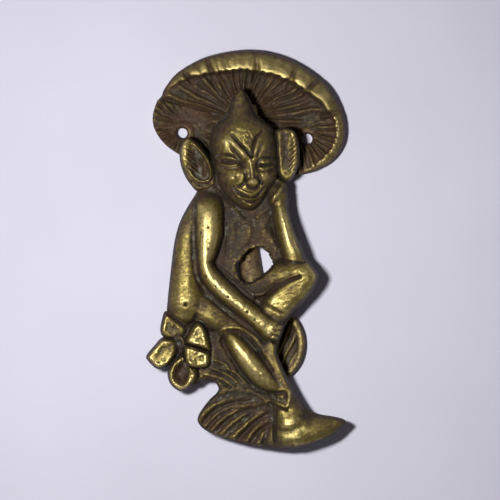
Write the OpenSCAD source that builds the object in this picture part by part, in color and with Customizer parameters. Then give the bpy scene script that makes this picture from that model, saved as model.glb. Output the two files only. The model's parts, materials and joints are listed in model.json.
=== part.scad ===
// Cast brass door knocker: a pixie sitting under a mushroom.
// The mushroom is the fixed backplate. The pixie hangs from a pin behind its head and strikes the foot.
// +Z points out from the door, +Y up the door. The origin is on the back face, midway between the screws.

/* [Overall] */
// Height from the toe of the leaf to the top of the mushroom cap
total_h = 113; // [105:1:125]
// Which sub-part to draw

/* [Backplate] */
// Thickness of the cap behind the gills
plate_t = 2.4; // [2:0.1:2.6]
// Height of a gill above the cap's floor
gill_h = 0.6; // [0.3:0.1:0.7]
// Number of gills round the cap
gill_count = 44; // [24:1:60]
// Radius of the rolled rim
rim_r = 2.3; // [1.8:0.1:2.6]
// Distance between the two screw holes
screw_spacing = 36; // [34:0.5:38]
// Diameter of a screw hole
screw_hole_d = 3; // [2.5:0.1:3.5]
// Radius of the round foot that the knocker strikes
foot_r = 12.3; // [11:0.1:13.5]
// Thickness of the foot
foot_t = 3; // [2:0.1:3.4]

/* [Hinge] */
// Diameter of the hinge pin
pin_d = 2.2; // [1.8:0.1:2.6]
// Radial clearance of the pin in the knocker's knuckle
pin_clearance = 0.05; // [0.02:0.01:0.1]
// Thickness of each lug
lug_t = 2; // [1.6:0.1:2.2]
// Width of the knuckle between the lugs
knuckle_w = 3.4; // [2.8:0.1:4]
// Gap between the knuckle and each lug
side_gap = 0.3; // [0.3:0.05:0.5]
// Radius of the lugs and of the knuckle
lug_r = 2.4; // [2:0.1:2.5]
// Height of the hinge axis above the back face
axis_z = 6.5; // [6.3:0.1:7]

/* [Figure] */
// Height of the figure's back edge above the back face
figure_back_z = 7; // [6.8:0.1:7.4]
// Thickness of the flat skin between the limbs
skin_t = 3; // [2.4:0.1:3.6]
// Height of the striker nub above the foot at rest
strike_gap = 0.3; // [0.3:0.05:0.6]

/* [Hidden] */
$fn = 48;
brass = [0.62, 0.5, 0.24];
dark_brass = [0.4, 0.32, 0.18];

// One scale for every sculpted shape; walls, holes and the hinge keep their own sizes
k = total_h / 113;

cap_centre = k * [1.1, 3];
cap_a = k * 28;
cap_up = k * 21.5;
cap_down = k * 14;
gill_focus = k * [-0.7, 4.8];
rim_z = plate_t + 1.7;
foot_at = k * [7.8, -59.5];

hinge_x = -1.1 * k;
axis_y = 6.5 * k;
hinge_w = knuckle_w + 2 * side_gap + 2 * lug_t;
lug_clear_r = lug_r + 0.5;
topknot_back_z = axis_z + lug_clear_r + 0.1;

// Joints of the figure: [x, y, z] of each limb's centre line
head = k * [0.4, -5, 0] + [0, 0, figure_back_z + 2.5];
jaw = k * [2.8, -14.4, 0] + [0, 0, figure_back_z + 3.8];
left_shoulder = k * [-9.2, -24, 0] + [0, 0, figure_back_z + 4];
left_elbow = k * [-8, -38, 0] + [0, 0, figure_back_z + 4.5];
left_hand = k * [9.5, -53.5, 0] + [0, 0, figure_back_z + 5.2];
right_shoulder = k * [10, -22, 0] + [0, 0, figure_back_z + 3];
right_elbow = k * [15.6, -34, 0] + [0, 0, figure_back_z + 3.4];
hip = k * [-10.5, -47, 0] + [0, 0, figure_back_z];
knee = k * [18.3, -39.6, 0] + [0, 0, figure_back_z + 4.8];
thigh_root = k * [0, -46.5, 0] + [0, 0, figure_back_z + 2];
shin_end = k * [10.5, -54, 0] + [0, 0, figure_back_z + 3];
calf_top = k * [1.5, -58.5, 0] + [0, 0, figure_back_z + 2.6];
ankle = k * [14, -72.5, 0] + [0, 0, figure_back_z + 2.4];
shoe_ball = k * [16, -80.6, 0] + [0, 0, figure_back_z + 2];
toe = k * [31.4, -80.6, 0] + [0, 0, figure_back_z + 1.2];
leaf_root = [11.4, -77];
flower_at = k * [-16, -60];

// A ball with its poles along Y, so that they end inside a neighbour
module ball(r) {
    rotate([90, 0, 0])
        sphere(r = r);
}

// A limb: a ball at each end and a cone that sits just inside them
module limb(from, to, r_from, r_to) {
    run = to - from;
    length = norm(run);
    turn = atan2(run[1], run[0]);
    lean = acos(run[2] / length);
    translate(from)
        ball(r_from);
    translate(to)
        ball(r_to);
    translate(from)
        rotate([0, lean, turn])
            cylinder(r1 = 0.97 * r_from, r2 = 0.97 * r_to, h = length);
}

// A pointed leaf along +X, from two equal arcs
module leaf_outline(length, width) {
    arc_r = (length * length + width * width) / (4 * width);
    translate([length / 2, 0])
        intersection() {
            translate([0, arc_r - width / 2])
                circle(r = arc_r);
            translate([0, width / 2 - arc_r])
                circle(r = arc_r);
        }
}

// A point on the cap's edge: half an ellipse above the centre, and a flatter half below it
function cap_point(angle, inset) = cap_centre + [
    (cap_a - inset) * cos(angle),
    ((sin(angle) > 0 ? cap_up : cap_down) - inset) * sin(angle)
];

module cap_outline(inset = 0) {
    polygon([for (angle = [0 : 6 : 354]) cap_point(angle, inset)]);
}

// The rolled lip that runs over the top of the cap from side to side
module cap_rim() {
    step = 20;
    inset = rim_r + 0.15;
    difference() {
        linear_extrude(rim_z)
            cap_outline();
        translate([0, 0, -1])
            linear_extrude(rim_z + 2)
                cap_outline(1.7 * rim_r);
    }
    for (angle = [-10 : step : 170]) {
        from = cap_point(angle, inset);
        to = cap_point(angle + step, inset);
        limb([from[0], from[1], rim_z], [to[0], to[1], rim_z], rim_r, rim_r + 0.02);
    }
}

// Ribs that fan out from behind the topknot to the rim
module gills() {
    intersection() {
        linear_extrude(plate_t + gill_h)
            cap_outline(rim_r);
        for (i = [0 : gill_count - 1])
            translate([gill_focus[0], gill_focus[1], plate_t - 0.4])
                rotate(i * 360 / gill_count + 2)
                    translate([7 * k, -0.35, 0])
                        cube([30 * k, 0.7, gill_h + 0.4]);
    }
}

// Two ears for the pin, cut round at the top
module lugs() {
    for (side = [-1, 1])
        translate([hinge_x + side * (knuckle_w / 2 + side_gap + lug_t / 2), axis_y, 0])
            rotate([90, 0, 90])
                linear_extrude(lug_t, center = true) {
                    translate([0, axis_z])
                        circle(r = lug_r);
                    translate([-lug_r, 1])
                        square([2 * lug_r, axis_z - 1]);
                }
}

// The mushroom's stem, from behind the head to the foot
module stem() {
    half_top = 4.2 * k;
    half_foot = 3.4 * k;
    top_x = -4.6 * k;
    linear_extrude(foot_t + 0.4)
        polygon([
            [top_x - half_top, 0],
            [top_x + half_top, 0],
            foot_at + [half_foot, 4 * k],
            foot_at + [-half_foot, 4 * k]
        ]);
}

// The round foot, with a raised rim and slanting ridges
module foot() {
    rim_w = 1.6;
    ridge_run = foot_r - rim_w;
    translate([foot_at[0], foot_at[1], 0]) {
        cylinder(r = foot_r, h = foot_t - 0.6);
        cylinder(r = 4.5, h = foot_t);
        rotate_extrude()
            translate([foot_r - rim_w, 0]) {
                square([rim_w, foot_t]);
                translate([rim_w / 2, foot_t])
                    circle(r = 0.3 * rim_w);
            }
        intersection() {
            cylinder(r = ridge_run + 0.1, h = foot_t - 0.2);
            rotate(-35)
                for (x = [-4 : 4])
                    translate([x * 2.6 - 0.5, -foot_r, 1])
                        cube([1, 2 * foot_r, foot_t]);
        }
    }
}

module backplate() {
    color(dark_brass)
        difference() {
            union() {
                linear_extrude(plate_t)
                    cap_outline();
                cap_rim();
                gills();
                for (side = [-1, 1])
                    translate([side * screw_spacing / 2, 0, 0])
                        cylinder(r = 4.2, h = plate_t + gill_h);
                stem();
                foot();
                lugs();
            }
            for (side = [-1, 1])
                translate([side * screw_spacing / 2, 0, -1])
                    cylinder(d = screw_hole_d, h = 12);
            translate([hinge_x, axis_y, axis_z])
                rotate([0, 90, 0])
                    cylinder(d = pin_d, h = 2 * hinge_w, center = true);
        }
}

// Thin skin that joins the limbs: shoulders, back, lap and the web down to the shoe
module figure_skin() {
    linear_extrude(skin_t)
        difference() {
            polygon(k * [
                [-8, -12], [-14.2, -19], [-17.4, -26], [-19, -36], [-19.8, -51], [-15, -58], [-7, -66],
                [-4, -73], [3, -80], [14, -80], [17.5, -73], [12.6, -64], [12.2, -55], [20.8, -43.6],
                [22.4, -38], [18.4, -34], [16.8, -28.6], [12.8, -19.4], [8, -12]
            ]);
            polygon(k * [
                [5, -31], [-0.6, -35.6], [-1, -39.6], [1.7, -42], [6.8, -38.9], [9.7, -36], [7, -31.4]
            ]);
        }
}

// Head with crown, jaw, topknot, brows, nose, cheeks and chin
module head_shape() {
    topknot_base = k * [-0.6, 3.6, 0] + [0, 0, topknot_back_z + 1.4];
    topknot_tip = k * [-1.3, 11.6, 0] + [0, 0, topknot_back_z + 1.5];
    translate(head)
        ball(10.1 * k);
    translate(jaw)
        ball(6.8 * k);
    limb(topknot_base, topknot_tip, 4 * k, 0.7);
    translate(k * [2.9, -13.2, 0] + [0, 0, figure_back_z + 11.3])
        ball(2 * k);
    for (bump = [[-2.8, -5.6], [5.4, -4.9], [-2.9, -12.6], [6.8, -11.8], [3.2, -19.2]])
        translate(k * [bump[0], bump[1], 0] + [0, 0, figure_back_z + 9.6 - norm(bump - [2, -9]) / 5])
            ball(2.3 * k);
}

// One pointed ear: a leaf-shaped cup that leans away from the head
module ear(at, turn, length, width) {
    translate([at[0], at[1], figure_back_z])
        rotate(turn)
            difference() {
                linear_extrude(4.4)
                    leaf_outline(length, width);
                translate([length * 0.14, 0, 2.6])
                    linear_extrude(4)
                        leaf_outline(length * 0.72, width * 0.62);
            }
}

module arms() {
    limb(left_shoulder, left_elbow, 4.7 * k, 4.3 * k);
    limb(left_elbow + [0, 0, 0.1], left_hand, 4.1 * k, 3 * k);
    limb(right_shoulder, right_elbow, 3 * k, 2.8 * k);
    for (finger = [0 : 3])
        translate(left_hand + k * [1.2 + 0.7 * finger, -3.6 + 1.1 * finger, -0.6])
            ball(1.3 * k);
}

module legs() {
    translate(hip)
        ball(8.6 * k);
    limb(thigh_root, knee, 4.4 * k, 4.5 * k);
    limb(knee + [0, 0, -0.4], shin_end, 4.2 * k, 3.3 * k);
    limb(calf_top, ankle, 4 * k, 2.5 * k);
    limb(ankle + [0, 0, 0.1], shoe_ball, 2.7 * k, 4.6 * k);
    limb(shoe_ball + [0, 0, 0.1], toe, 4.1 * k, 0.8);
}

// The leaf that the pixie stands on, spread like a fan with raised ribs
module fan_leaf() {
    edge = [[-4.2, -73.4], [-9.7, -80], [-9.1, -82.7], [-4.1, -85.8], [2, -87.6], [10.9, -88.5]];
    translate([0, 0, figure_back_z])
        linear_extrude(1.8)
            polygon(k * concat(edge, [[17, -86], [16, -76], [8, -72]]));
    for (rib = [0 : 5], part = [0, 0.5]) {
        if (part == 0 || rib < 5) {
            from_edge = edge[rib];
            to_edge = edge[min(rib + 1, 5)];
            end = leaf_root + 0.93 * (from_edge + part * (to_edge - from_edge) - leaf_root);
            start = leaf_root + 0.15 * (end - leaf_root);
            limb([k * start[0], k * start[1], figure_back_z + 1.6], [k * end[0], k * end[1], figure_back_z + 1.2],
                0.7, 1);
        }
    }
}

// Five petals round a bud, at the end of the pixie's seat
module flower() {
    // Direction and length of each petal
    petals = [[203, 9.8], [122, 9.4], [48, 8.8], [-26, 10.4], [-88, 13.2]];
    translate([flower_at[0], flower_at[1], figure_back_z]) {
        for (petal = petals)
            rotate(petal[0])
                difference() {
                    translate([-1.5, 0, 0])
                        linear_extrude(2.8)
                            leaf_outline(k * petal[1] + 1.5, k * 7.6);
                    translate([2, 0, 2])
                        linear_extrude(2)
                            leaf_outline(k * petal[1] * 0.66, k * 4.6);
                }
        translate([0, 0, 2.4])
            ball(2.6 * k);
    }
}

// Knuckle for the pin, and the web that carries it up into the head
module knuckle() {
    translate([hinge_x, axis_y, axis_z])
        rotate([0, 90, 0])
            cylinder(r = lug_r, h = knuckle_w, center = true);
    translate([hinge_x - knuckle_w / 2, axis_y - 6.5 * k, axis_z])
        cube([knuckle_w, 6.5 * k, lug_clear_r + 2]);
}

// Stub on the figure's back that meets the foot
module striker() {
    strike_z = foot_t + strike_gap;
    translate([foot_at[0] - 1.5 * k, foot_at[1] + 1 * k, strike_z])
        cylinder(r = 2.6, h = figure_back_z + 2 - strike_z);
}

// The casting is hollow behind the head, the back and the hip
module back_hollows() {
    translate(k * [1.4, -9.5, 0] + [0, 0, figure_back_z])
        ball(6.4 * k);
    limb(k * [-8.6, -25, 0] + [0, 0, figure_back_z - 1], k * [-10.5, -47, 0] + [0, 0, figure_back_z - 1],
        4 * k, 6.2 * k);
    limb(k * [4, -44, 0] + [0, 0, figure_back_z], k * [18, -40, 0] + [0, 0, figure_back_z + 0.5],
        2.4 * k, 2.4 * k);
}

module knocker() {
    below_z = 30;
    color(brass)
        difference() {
            union() {
                difference() {
                    union() {
                        translate([0, 0, figure_back_z])
                            figure_skin();
                        head_shape();
                        ear(k * [-10.2, -16], 116, 16.2 * k, 8.6 * k);
                        ear(k * [12.6, -12.8], 88, 15.6 * k, 6.2 * k);
                        arms();
                        legs();
                        fan_leaf();
                        flower();
                    }
                    translate([-60, -120, figure_back_z - below_z])
                        cube([120, 180, below_z]);
                    back_hollows();
                    translate([hinge_x, axis_y, axis_z])
                        rotate([0, 90, 0])
                            cylinder(r = lug_clear_r, h = hinge_w + 4, center = true);
                    translate([-20, axis_y, 0])
                        cube([40, 20, topknot_back_z]);
                }
                knuckle();
                striker();
            }
            translate([hinge_x, axis_y, axis_z])
                rotate([0, 90, 0])
                    cylinder(r = pin_d / 2 + pin_clearance, h = 4 * hinge_w, center = true);
        }
}

// Pin with its two ends peened over
module hinge_pin() {
    head_t = 0.5;
    color(brass)
        translate([hinge_x, axis_y, axis_z])
            rotate([0, 90, 0]) {
                cylinder(d = pin_d, h = hinge_w + 2 * head_t, center = true);
                for (side = [-1, 1])
                    translate([0, 0, side * (hinge_w / 2 + head_t / 2)])
                        cylinder(d = pin_d + 0.9, h = head_t, center = true);
            }
}

backplate();
knocker();
hinge_pin();
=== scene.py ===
"""Looks for a cast brass door knocker: a pixie sitting under a mushroom.

Both castings are reliefs. Each is a height above the door, worked out as a function of x and y on a fine
grid, with its edge pulled onto an outline, straight side walls and a hollow or flat back.
Lengths in the shapes below are millimetres in the record's frame; meshes are made in metres.
"""

import json
import math

import bpy
import numpy as np
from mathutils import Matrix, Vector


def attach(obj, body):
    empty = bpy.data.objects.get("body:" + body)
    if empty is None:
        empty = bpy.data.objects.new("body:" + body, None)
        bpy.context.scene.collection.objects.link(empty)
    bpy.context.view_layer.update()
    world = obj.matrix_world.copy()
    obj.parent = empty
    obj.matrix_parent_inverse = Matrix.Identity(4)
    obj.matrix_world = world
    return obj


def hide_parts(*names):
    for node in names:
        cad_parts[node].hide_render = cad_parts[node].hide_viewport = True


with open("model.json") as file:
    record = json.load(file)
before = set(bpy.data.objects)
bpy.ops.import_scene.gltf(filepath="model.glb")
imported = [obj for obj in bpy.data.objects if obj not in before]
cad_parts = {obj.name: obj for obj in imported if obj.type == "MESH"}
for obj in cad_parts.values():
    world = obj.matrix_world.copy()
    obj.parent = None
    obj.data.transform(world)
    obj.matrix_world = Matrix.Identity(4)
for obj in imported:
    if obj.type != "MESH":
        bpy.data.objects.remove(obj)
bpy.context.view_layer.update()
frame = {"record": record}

bl_info = {
    "name": "Pixie door knocker",
    "version": (1, 0, 0),
    "blender": (4, 5, 0),
    "location": "3D View > Sidebar > Knocker",
    "description": "Builds a cast brass pixie door knocker with aged brass finishes",
    "category": "Add Mesh",
}

MM = 0.001
JOINT = frame["record"]["behaviour"]["joints"][0]
AXIS_X, AXIS_Y, AXIS_Z = (1000 * v for v in JOINT["pos_m"])
SCREW_HALF = frame["record"]["mounts"][1]["dims"]["spacing_x_mm"] / 2
SCREW_R = frame["record"]["mounts"][1]["dims"]["hole_r_mm"]
BACK_Z = 7.0  # the figure's back edge above the door
KNUCKLE_HALF = 1.7  # half the width of the knuckle between the lugs
SIDE_GAP = 0.3  # between the knuckle and each lug
LUG_THICKNESS = 2.0
LUG_R = 2.4  # outer radius of the lugs and of the knuckle
FAR = 1e3


# ---------------------------------------------------------------- curves and fields


def smooth_step(t):
    """Rises from 0 to 1 with level ends: 3t^2 - 2t^3."""
    t = np.clip(t, 0, 1)
    return t * t * (3 - 2 * t)


def smooth_max(a, b, k):
    """The larger of a and b, with the corner between them filled over a height of k."""
    h = np.clip(0.5 + 0.5 * (a - b) / k, 0, 1)
    return b + (a - b) * h + k * h * (1 - h)


def spline(points, closed=False, steps=8):
    """A curve through the points: on each stretch, the Catmull-Rom cubic of its four nearest points."""
    p = np.asarray(points, float)
    if closed:
        p = np.concatenate([p[-1:], p, p[:2]])
    else:
        p = np.concatenate([2 * p[:1] - p[1:2], p, 2 * p[-1:] - p[-2:-1]])
    t = (np.arange(steps) / steps)[None, :, None]
    a, b, c, d = (p[i : len(p) - 3 + i, None, :] for i in range(4))
    made = 0.5 * (
        2 * b + (c - a) * t + (2 * a - 5 * b + 4 * c - d) * t**2 + (3 * b - a - 3 * c + d) * t**3
    )
    made = made.reshape(-1, p.shape[1])
    return made if closed else np.concatenate([made, p[-2:-1]])


def outline_distance(x, y, points):
    """Distance to a closed outline, negative inside: its nearest edge, signed by even-odd crossing."""
    best = np.full(x.shape, FAR)
    inside = np.zeros(x.shape, bool)
    for (ax, ay), (bx, by) in zip(points, np.roll(points, -1, axis=0)):
        ex, ey = bx - ax, by - ay
        length = ex * ex + ey * ey
        if length < 1e-12:
            continue
        t = np.clip(((x - ax) * ex + (y - ay) * ey) / length, 0, 1)
        best = np.minimum(best, (x - ax - t * ex) ** 2 + (y - ay - t * ey) ** 2)
        if ay != by:
            crosses = ((ay > y) != (by > y)) & (x < ax + (y - ay) * ex / ey)
            inside ^= crosses
    return np.sqrt(best) * np.where(inside, -1, 1)


def along(x, y, path):
    """For each point: distance to the path, its side (+1 left of travel), and the other columns there."""
    path = np.asarray(path, float)
    best = np.full(x.shape, FAR**2)
    side = np.ones(x.shape)
    rest = np.zeros((path.shape[1] - 2,) + x.shape)
    for a, b in zip(path[:-1], path[1:]):
        ex, ey = b[0] - a[0], b[1] - a[1]
        t = ((x - a[0]) * ex + (y - a[1]) * ey) / max(ex * ex + ey * ey, 1e-12)
        t = np.clip(t, 0, 1)
        dx, dy = x - a[0] - t * ex, y - a[1] - t * ey
        d = dx * dx + dy * dy
        near = d < best
        best = np.where(near, d, best)
        side = np.where(near, np.sign(ex * dy - ey * dx), side)
        for k in range(len(rest)):
            rest[k] = np.where(near, a[2 + k] + t * (b[2 + k] - a[2 + k]), rest[k])
    return np.sqrt(best), side, rest


class Relief:
    """A height z over points x, y, built up from limbs, bumps, ridges and grooves.

    Each shape touches only the points near it, so many small ones stay cheap.
    """

    def __init__(self, x, y, z):
        self.x, self.y = x, y
        self.z = np.broadcast_to(np.asarray(z, float), x.shape).copy()

    def near(self, points, reach):
        """The points within reach of the box round these points."""
        p = np.asarray(points, float)
        low, high = p[:, :2].min(0) - reach, p[:, :2].max(0) + reach
        return (self.x > low[0]) & (self.x < high[0]) & (self.y > low[1]) & (self.y < high[1])

    def limb(self, crest, base, blend=0.5, power=2.0, steps=6):
        """Rows of crest are x, y, top, width to the left, width to the right.

        Across the limb the height is base + (top - base) * (1 - q^power)^(1/2), q = distance / width.
        """
        path = spline(crest, steps=steps)
        m = self.near(path, 6)
        d, side, (top, left, right) = along(self.x[m], self.y[m], path)
        q = d / np.maximum(np.where(side > 0, left, right), 0.05)
        round_top = np.sqrt(np.clip(1 - q**power, 0, None))
        height = np.where(q < 1, base + (top - base) * round_top, base - 6 * (q - 1))
        self.z[m] = smooth_max(self.z[m], height, blend)
        return self

    def dome(self, cx, cy, rx, ry, turn, top, base, blend=0.5, power=2.0):
        """A turned ellipsoid: base + (top - base) * (1 - q^power)^(1/2), q = 1 on the ellipse."""
        q, m = self.ellipse(cx, cy, rx, ry, turn, 1.6)
        round_top = np.sqrt(np.clip(1 - q**power, 0, None))
        height = np.where(q < 1, base + (top - base) * round_top, base - 6 * (q - 1))
        self.z[m] = smooth_max(self.z[m], height, blend)
        return self

    def ellipse(self, cx, cy, rx, ry, turn, reach):
        """q and the points near a turned ellipse; q is 0 at its centre and 1 on it."""
        r = max(rx, ry) * reach
        m = (abs(self.x - cx) < r) & (abs(self.y - cy) < r)
        c, s = math.cos(math.radians(turn)), math.sin(math.radians(turn))
        dx, dy = self.x[m] - cx, self.y[m] - cy
        return np.hypot((c * dx + s * dy) / rx, (c * dy - s * dx) / ry), m

    def bump(self, cx, cy, rx, ry, turn, height):
        """Adds height * exp(-(3/2) q^2) over an ellipse; a negative height is a pit."""
        q, m = self.ellipse(cx, cy, rx, ry, turn, 2.2)
        self.z[m] += height * np.exp(-1.5 * q * q)
        return self

    def ridge(self, path, width, height, steps=6):
        """Adds height * exp(-(d / width)^2), d the distance to a curve; a negative height is a groove.

        A third column in the path scales the height along it.
        """
        path = np.asarray(path, float)
        if path.shape[1] == 2:
            path = np.column_stack([path, np.ones(len(path))])
        path = spline(path, steps=steps)
        m = self.near(path, 3 * width)
        d, _, (scale,) = along(self.x[m], self.y[m], path)
        self.z[m] += height * scale * np.exp(-((d / width) ** 2))
        return self


def wander(x, y, scale, seed):
    """Smooth uneven waves between about -1 and 1: a sum of sines at seeded angles, sizes near scale."""
    rng = np.random.default_rng(seed)
    total = np.zeros(x.shape)
    for _ in range(7):
        angle, phase = rng.uniform(0, 2 * math.pi, 2)
        k = 2 * math.pi / (scale * rng.uniform(0.6, 1.7))
        total += np.sin(k * (x * math.cos(angle) + y * math.sin(angle)) + phase)
    return total / 4


# ---------------------------------------------------------------- mesh makers


def blurred(grid, radius):
    """A grid averaged over a square window three times, which is close to a Gaussian of that radius."""
    n = max(int(radius), 1)
    for _ in range(3):
        for axis in (0, 1):
            g = np.moveaxis(grid, axis, 0)
            padded = np.concatenate([np.repeat(g[:1], n + 1, 0), g, np.repeat(g[-1:], n, 0)])
            total = np.cumsum(padded, axis=0)
            grid = np.moveaxis((total[2 * n + 1 :] - total[: -2 * n - 1]) / (2 * n + 1), 0, axis)
    return grid


def new_mesh_object(name, points_mm, faces, attributes=(), sharp_deg=50):
    """An object at the origin with its place in its mesh; attributes are (name, value per point)."""
    mesh = bpy.data.meshes.new(name)
    mesh.from_pydata((np.asarray(points_mm) * MM).tolist(), [], faces)
    mesh.update()
    mesh.shade_smooth()
    mesh.set_sharp_from_angle(angle=math.radians(sharp_deg))
    for label, values in attributes:
        layer = mesh.attributes.new(label, "FLOAT", "POINT")
        layer.data.foreach_set("value", np.asarray(values, np.float32))
    made = bpy.data.objects.new(name, mesh)
    bpy.context.scene.collection.objects.link(made)
    return made


def relief_object(name, distance, top, bottom, polish, box, pitch, crest_rub=0.6):
    """A casting on a grid: z = top(x, y) in front, z = bottom(x, y) behind, walls straight between them.

    Cells whose corners are all inside the outline are kept, and the corners of the outermost ones move
    down the slope of the distance until it is zero, so the edge is as smooth as the outline.
    """
    xs = np.arange(box[0], box[2] + pitch, pitch)
    ys = np.arange(box[1], box[3] + pitch, pitch)
    x, y = np.meshgrid(xs, ys, indexing="ij")
    d = distance(x.ravel(), y.ravel()).reshape(x.shape)
    inside = d < 0.45 * pitch
    cell = inside[:-1, :-1] & inside[1:, :-1] & inside[:-1, 1:] & inside[1:, 1:]
    held = np.pad(cell, 1).astype(int)
    count = held[:-1, :-1] + held[1:, :-1] + held[:-1, 1:] + held[1:, 1:]
    used, edge = count > 0, (count > 0) & (count < 4)

    slope = np.stack(np.gradient(d, pitch))
    slope /= np.maximum((slope**2).sum(0), 0.25)
    ex, ey = x[edge], y[edge]
    for _ in range(2):
        now = distance(ex, ey)
        ex = ex - np.clip(now * slope[0][edge], -pitch, pitch)
        ey = ey - np.clip(now * slope[1][edge], -pitch, pitch)
    px, py = x.copy(), y.copy()
    px[edge], py[edge] = ex, ey

    front = np.full(x.shape, -1)
    front[used] = np.arange(used.sum())
    back = front + used.sum()
    ux, uy = px[used], py[used]
    z_front = top(ux, uy)
    z_back = np.minimum(bottom(ux, uy, z_front), z_front - 0.6)
    points = np.concatenate([np.stack([ux, uy, z_front], 1), np.stack([ux, uy, z_back], 1)])

    i, j = np.nonzero(cell)
    quads = [
        np.stack([front[i, j], front[i + 1, j], front[i + 1, j + 1], front[i, j + 1]], 1),
        np.stack([back[i, j], back[i, j + 1], back[i + 1, j + 1], back[i + 1, j]], 1),
    ]
    ring = np.pad(cell, 1)
    for di, dj, a, b in ((0, -1, (0, 0), (1, 0)), (1, 0, (1, 0), (1, 1)), (0, 1, (1, 1), (0, 1)),
                         (-1, 0, (0, 1), (0, 0))):
        open_side = ~ring[i + 1 + di, j + 1 + dj]
        p = (i[open_side] + a[0], j[open_side] + a[1])
        q = (i[open_side] + b[0], j[open_side] + b[1])
        quads.append(np.stack([back[p], back[q], front[q], front[p]], 1))
    faces = np.concatenate(quads).tolist()

    z = np.zeros(x.shape)
    z[used] = z_front
    level = []
    for radius in (0.4, 1.6):
        n = max(round(radius / pitch), 1)
        level.append(blurred(z, n) / np.maximum(blurred(used.astype(float), n), 1e-3))
    gx, gy = np.gradient(np.where(used, z, level[0]), pitch)
    upright = 1 / np.sqrt(1 + gx[used] ** 2 + gy[used] ** 2)
    fine = z_front - level[0][used]
    broad = z_front - level[1][used]
    # Painted shade: the steeper the side, the lower this value, so steep sides come out darker and duller
    # than faces turned up to the lamp.
    rub_and_painted_light = polish(ux, uy, z_front) * (0.25 + 0.75 * smooth_step((upright - 0.35) / 0.55))
    rub_and_painted_light += crest_rub * np.clip(fine, -0.4, 0.3) + 0.12 * np.clip(broad, -1.5, 1.5)
    marks = (
        ("rub_and_painted_light", np.concatenate([rub_and_painted_light, np.full(used.sum(), 0.05)])),
        ("fine", np.concatenate([fine, np.zeros(used.sum())])),
    )
    return new_mesh_object(name, points, faces, marks)


def surface_object(name, grid, closed_u=True, closed_v=True, caps=False, sharp_deg=40, rub_and_painted_light=0.3):
    """A grid of points (u, v, 3) joined into quads, closed round u and, if asked, round v."""
    nu, nv = grid.shape[:2]
    u = np.arange(nu if closed_u else nu - 1)
    v = np.arange(nv if closed_v else nv - 1)
    uu, vv = np.meshgrid(u, v, indexing="ij")
    u1, v1 = (uu + 1) % nu, (vv + 1) % nv
    quads = np.stack([uu * nv + vv, u1 * nv + vv, u1 * nv + v1, uu * nv + v1], -1).reshape(-1, 4)
    faces = quads.tolist()
    if caps:
        ring = np.arange(nu) * nv
        faces.append(ring[::-1].tolist())
        faces.append((ring + nv - 1).tolist())
    made = new_mesh_object(name, grid.reshape(-1, 3), faces, sharp_deg=sharp_deg)
    count = nu * nv
    for label, value in (("rub_and_painted_light", rub_and_painted_light), ("fine", 0.0)):
        layer = made.data.attributes.new(label, "FLOAT", "POINT")
        layer.data.foreach_set("value", np.full(count, value, np.float32))
    return made


def bearing_plate(name, x0, x1, bore_r, reach, chamfer=0.25, steps=72):
    """A plate across the hinge axis with a bore: at each angle it runs out to reach(angle), from x0 to x1."""
    angle = np.arange(steps) / steps * 2 * math.pi
    outer = reach(angle)
    rows = ((x0, bore_r), (x0, outer - chamfer), (x0 + chamfer, outer), (x1 - chamfer, outer),
            (x1, outer - chamfer), (x1, bore_r))
    grid = np.empty((steps, len(rows), 3))
    for k, (x, r) in enumerate(rows):
        grid[:, k] = np.stack([np.full(steps, x), AXIS_Y + r * np.cos(angle), AXIS_Z + r * np.sin(angle)],
                              1)
    return surface_object(name, grid)


def ray_to_box(angle, low, high):
    """How far a ray from the hinge axis at each angle runs inside the box from low to high, (y, z) pairs."""
    c, s = np.cos(angle), np.sin(angle)
    to_y = np.where(c > 0, high[0], low[0]) / np.where(abs(c) < 1e-9, 1e-9, c)
    to_z = np.where(s > 0, high[1], low[1]) / np.where(abs(s) < 1e-9, 1e-9, s)
    return np.minimum(np.abs(to_y), np.abs(to_z))


# ---------------------------------------------------------------- the mushroom


CAP_EDGE = [
    (-23.6, 12.6), (-20.7, 16.7), (-16.2, 20.0), (-10.8, 22.5), (-1.6, 24.4), (6.6, 24.0), (14.5, 21.3),
    (22.6, 15.9), (26.7, 10.2), (28.7, 4.4), (28.5, -1.0), (26.2, -5.4), (22.5, -8.3), (17.6, -10.2),
    (8.0, -11.4), (-4.0, -10.8), (-13.0, -9.0), (-18.5, -6.2), (-22.9, -3.3), (-25.8, 0.5), (-26.6, 4.3),
    (-25.6, 8.6), (-24.4, 10.4),
]
ROLL_INNER = [
    (-23.4, 10.0), (-21.6, 12.2), (-17.1, 15.2), (-10.6, 17.0), (-6.0, 17.7), (-1.3, 18.3), (2.2, 18.1),
    (6.9, 17.4), (12.0, 15.8), (16.0, 13.6), (20.0, 11.0), (23.0, 8.1), (24.9, 5.5), (25.6, 2.0),
    (24.6, -2.0), (21.6, -5.6), (17.4, -8.6),
]
# Where the roll is nicked: inner point, middle, outer point
ROLL_NICKS = [
    [(-9.4, 15.2), (-10.6, 18.4), (-11.8, 21.2)], [(2.2, 16.2), (2.6, 19.0), (2.3, 22.0)],
    [(11.8, 14.6), (12.9, 17.4), (13.9, 19.8)], [(16.8, 12.6), (18.4, 14.8), (20.4, 16.6)],
    [(22.4, 6.6), (24.6, 7.4), (26.8, 8.0)], [(-15.8, 14.4), (-17.2, 16.2), (-18.6, 17.8)],
]
FOOT_X, FOOT_Y, FOOT_R = 7.8, -59.5, 12.3
GILL_FOCUS = (-0.7, 4.8)
FOLD_LEFT = [(-26.0, 9.9), (-20.0, 8.3), (-16.0, 7.9), (-12.0, 7.0), (-8.5, 5.5), (-4.0, 3.5)]
FOLD_RIGHT = [(4.0, 1.6), (9.5, 2.6), (15.3, 4.4), (20.0, 5.6), (28.0, 7.4)]


def stem_half_width(y):
    return 3.4 + 0.8 * smooth_step((y + 20) / 20)


def stem_centre(y):
    return -4.6 + (FOOT_X + 4.6) * (y / FOOT_Y)


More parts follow.
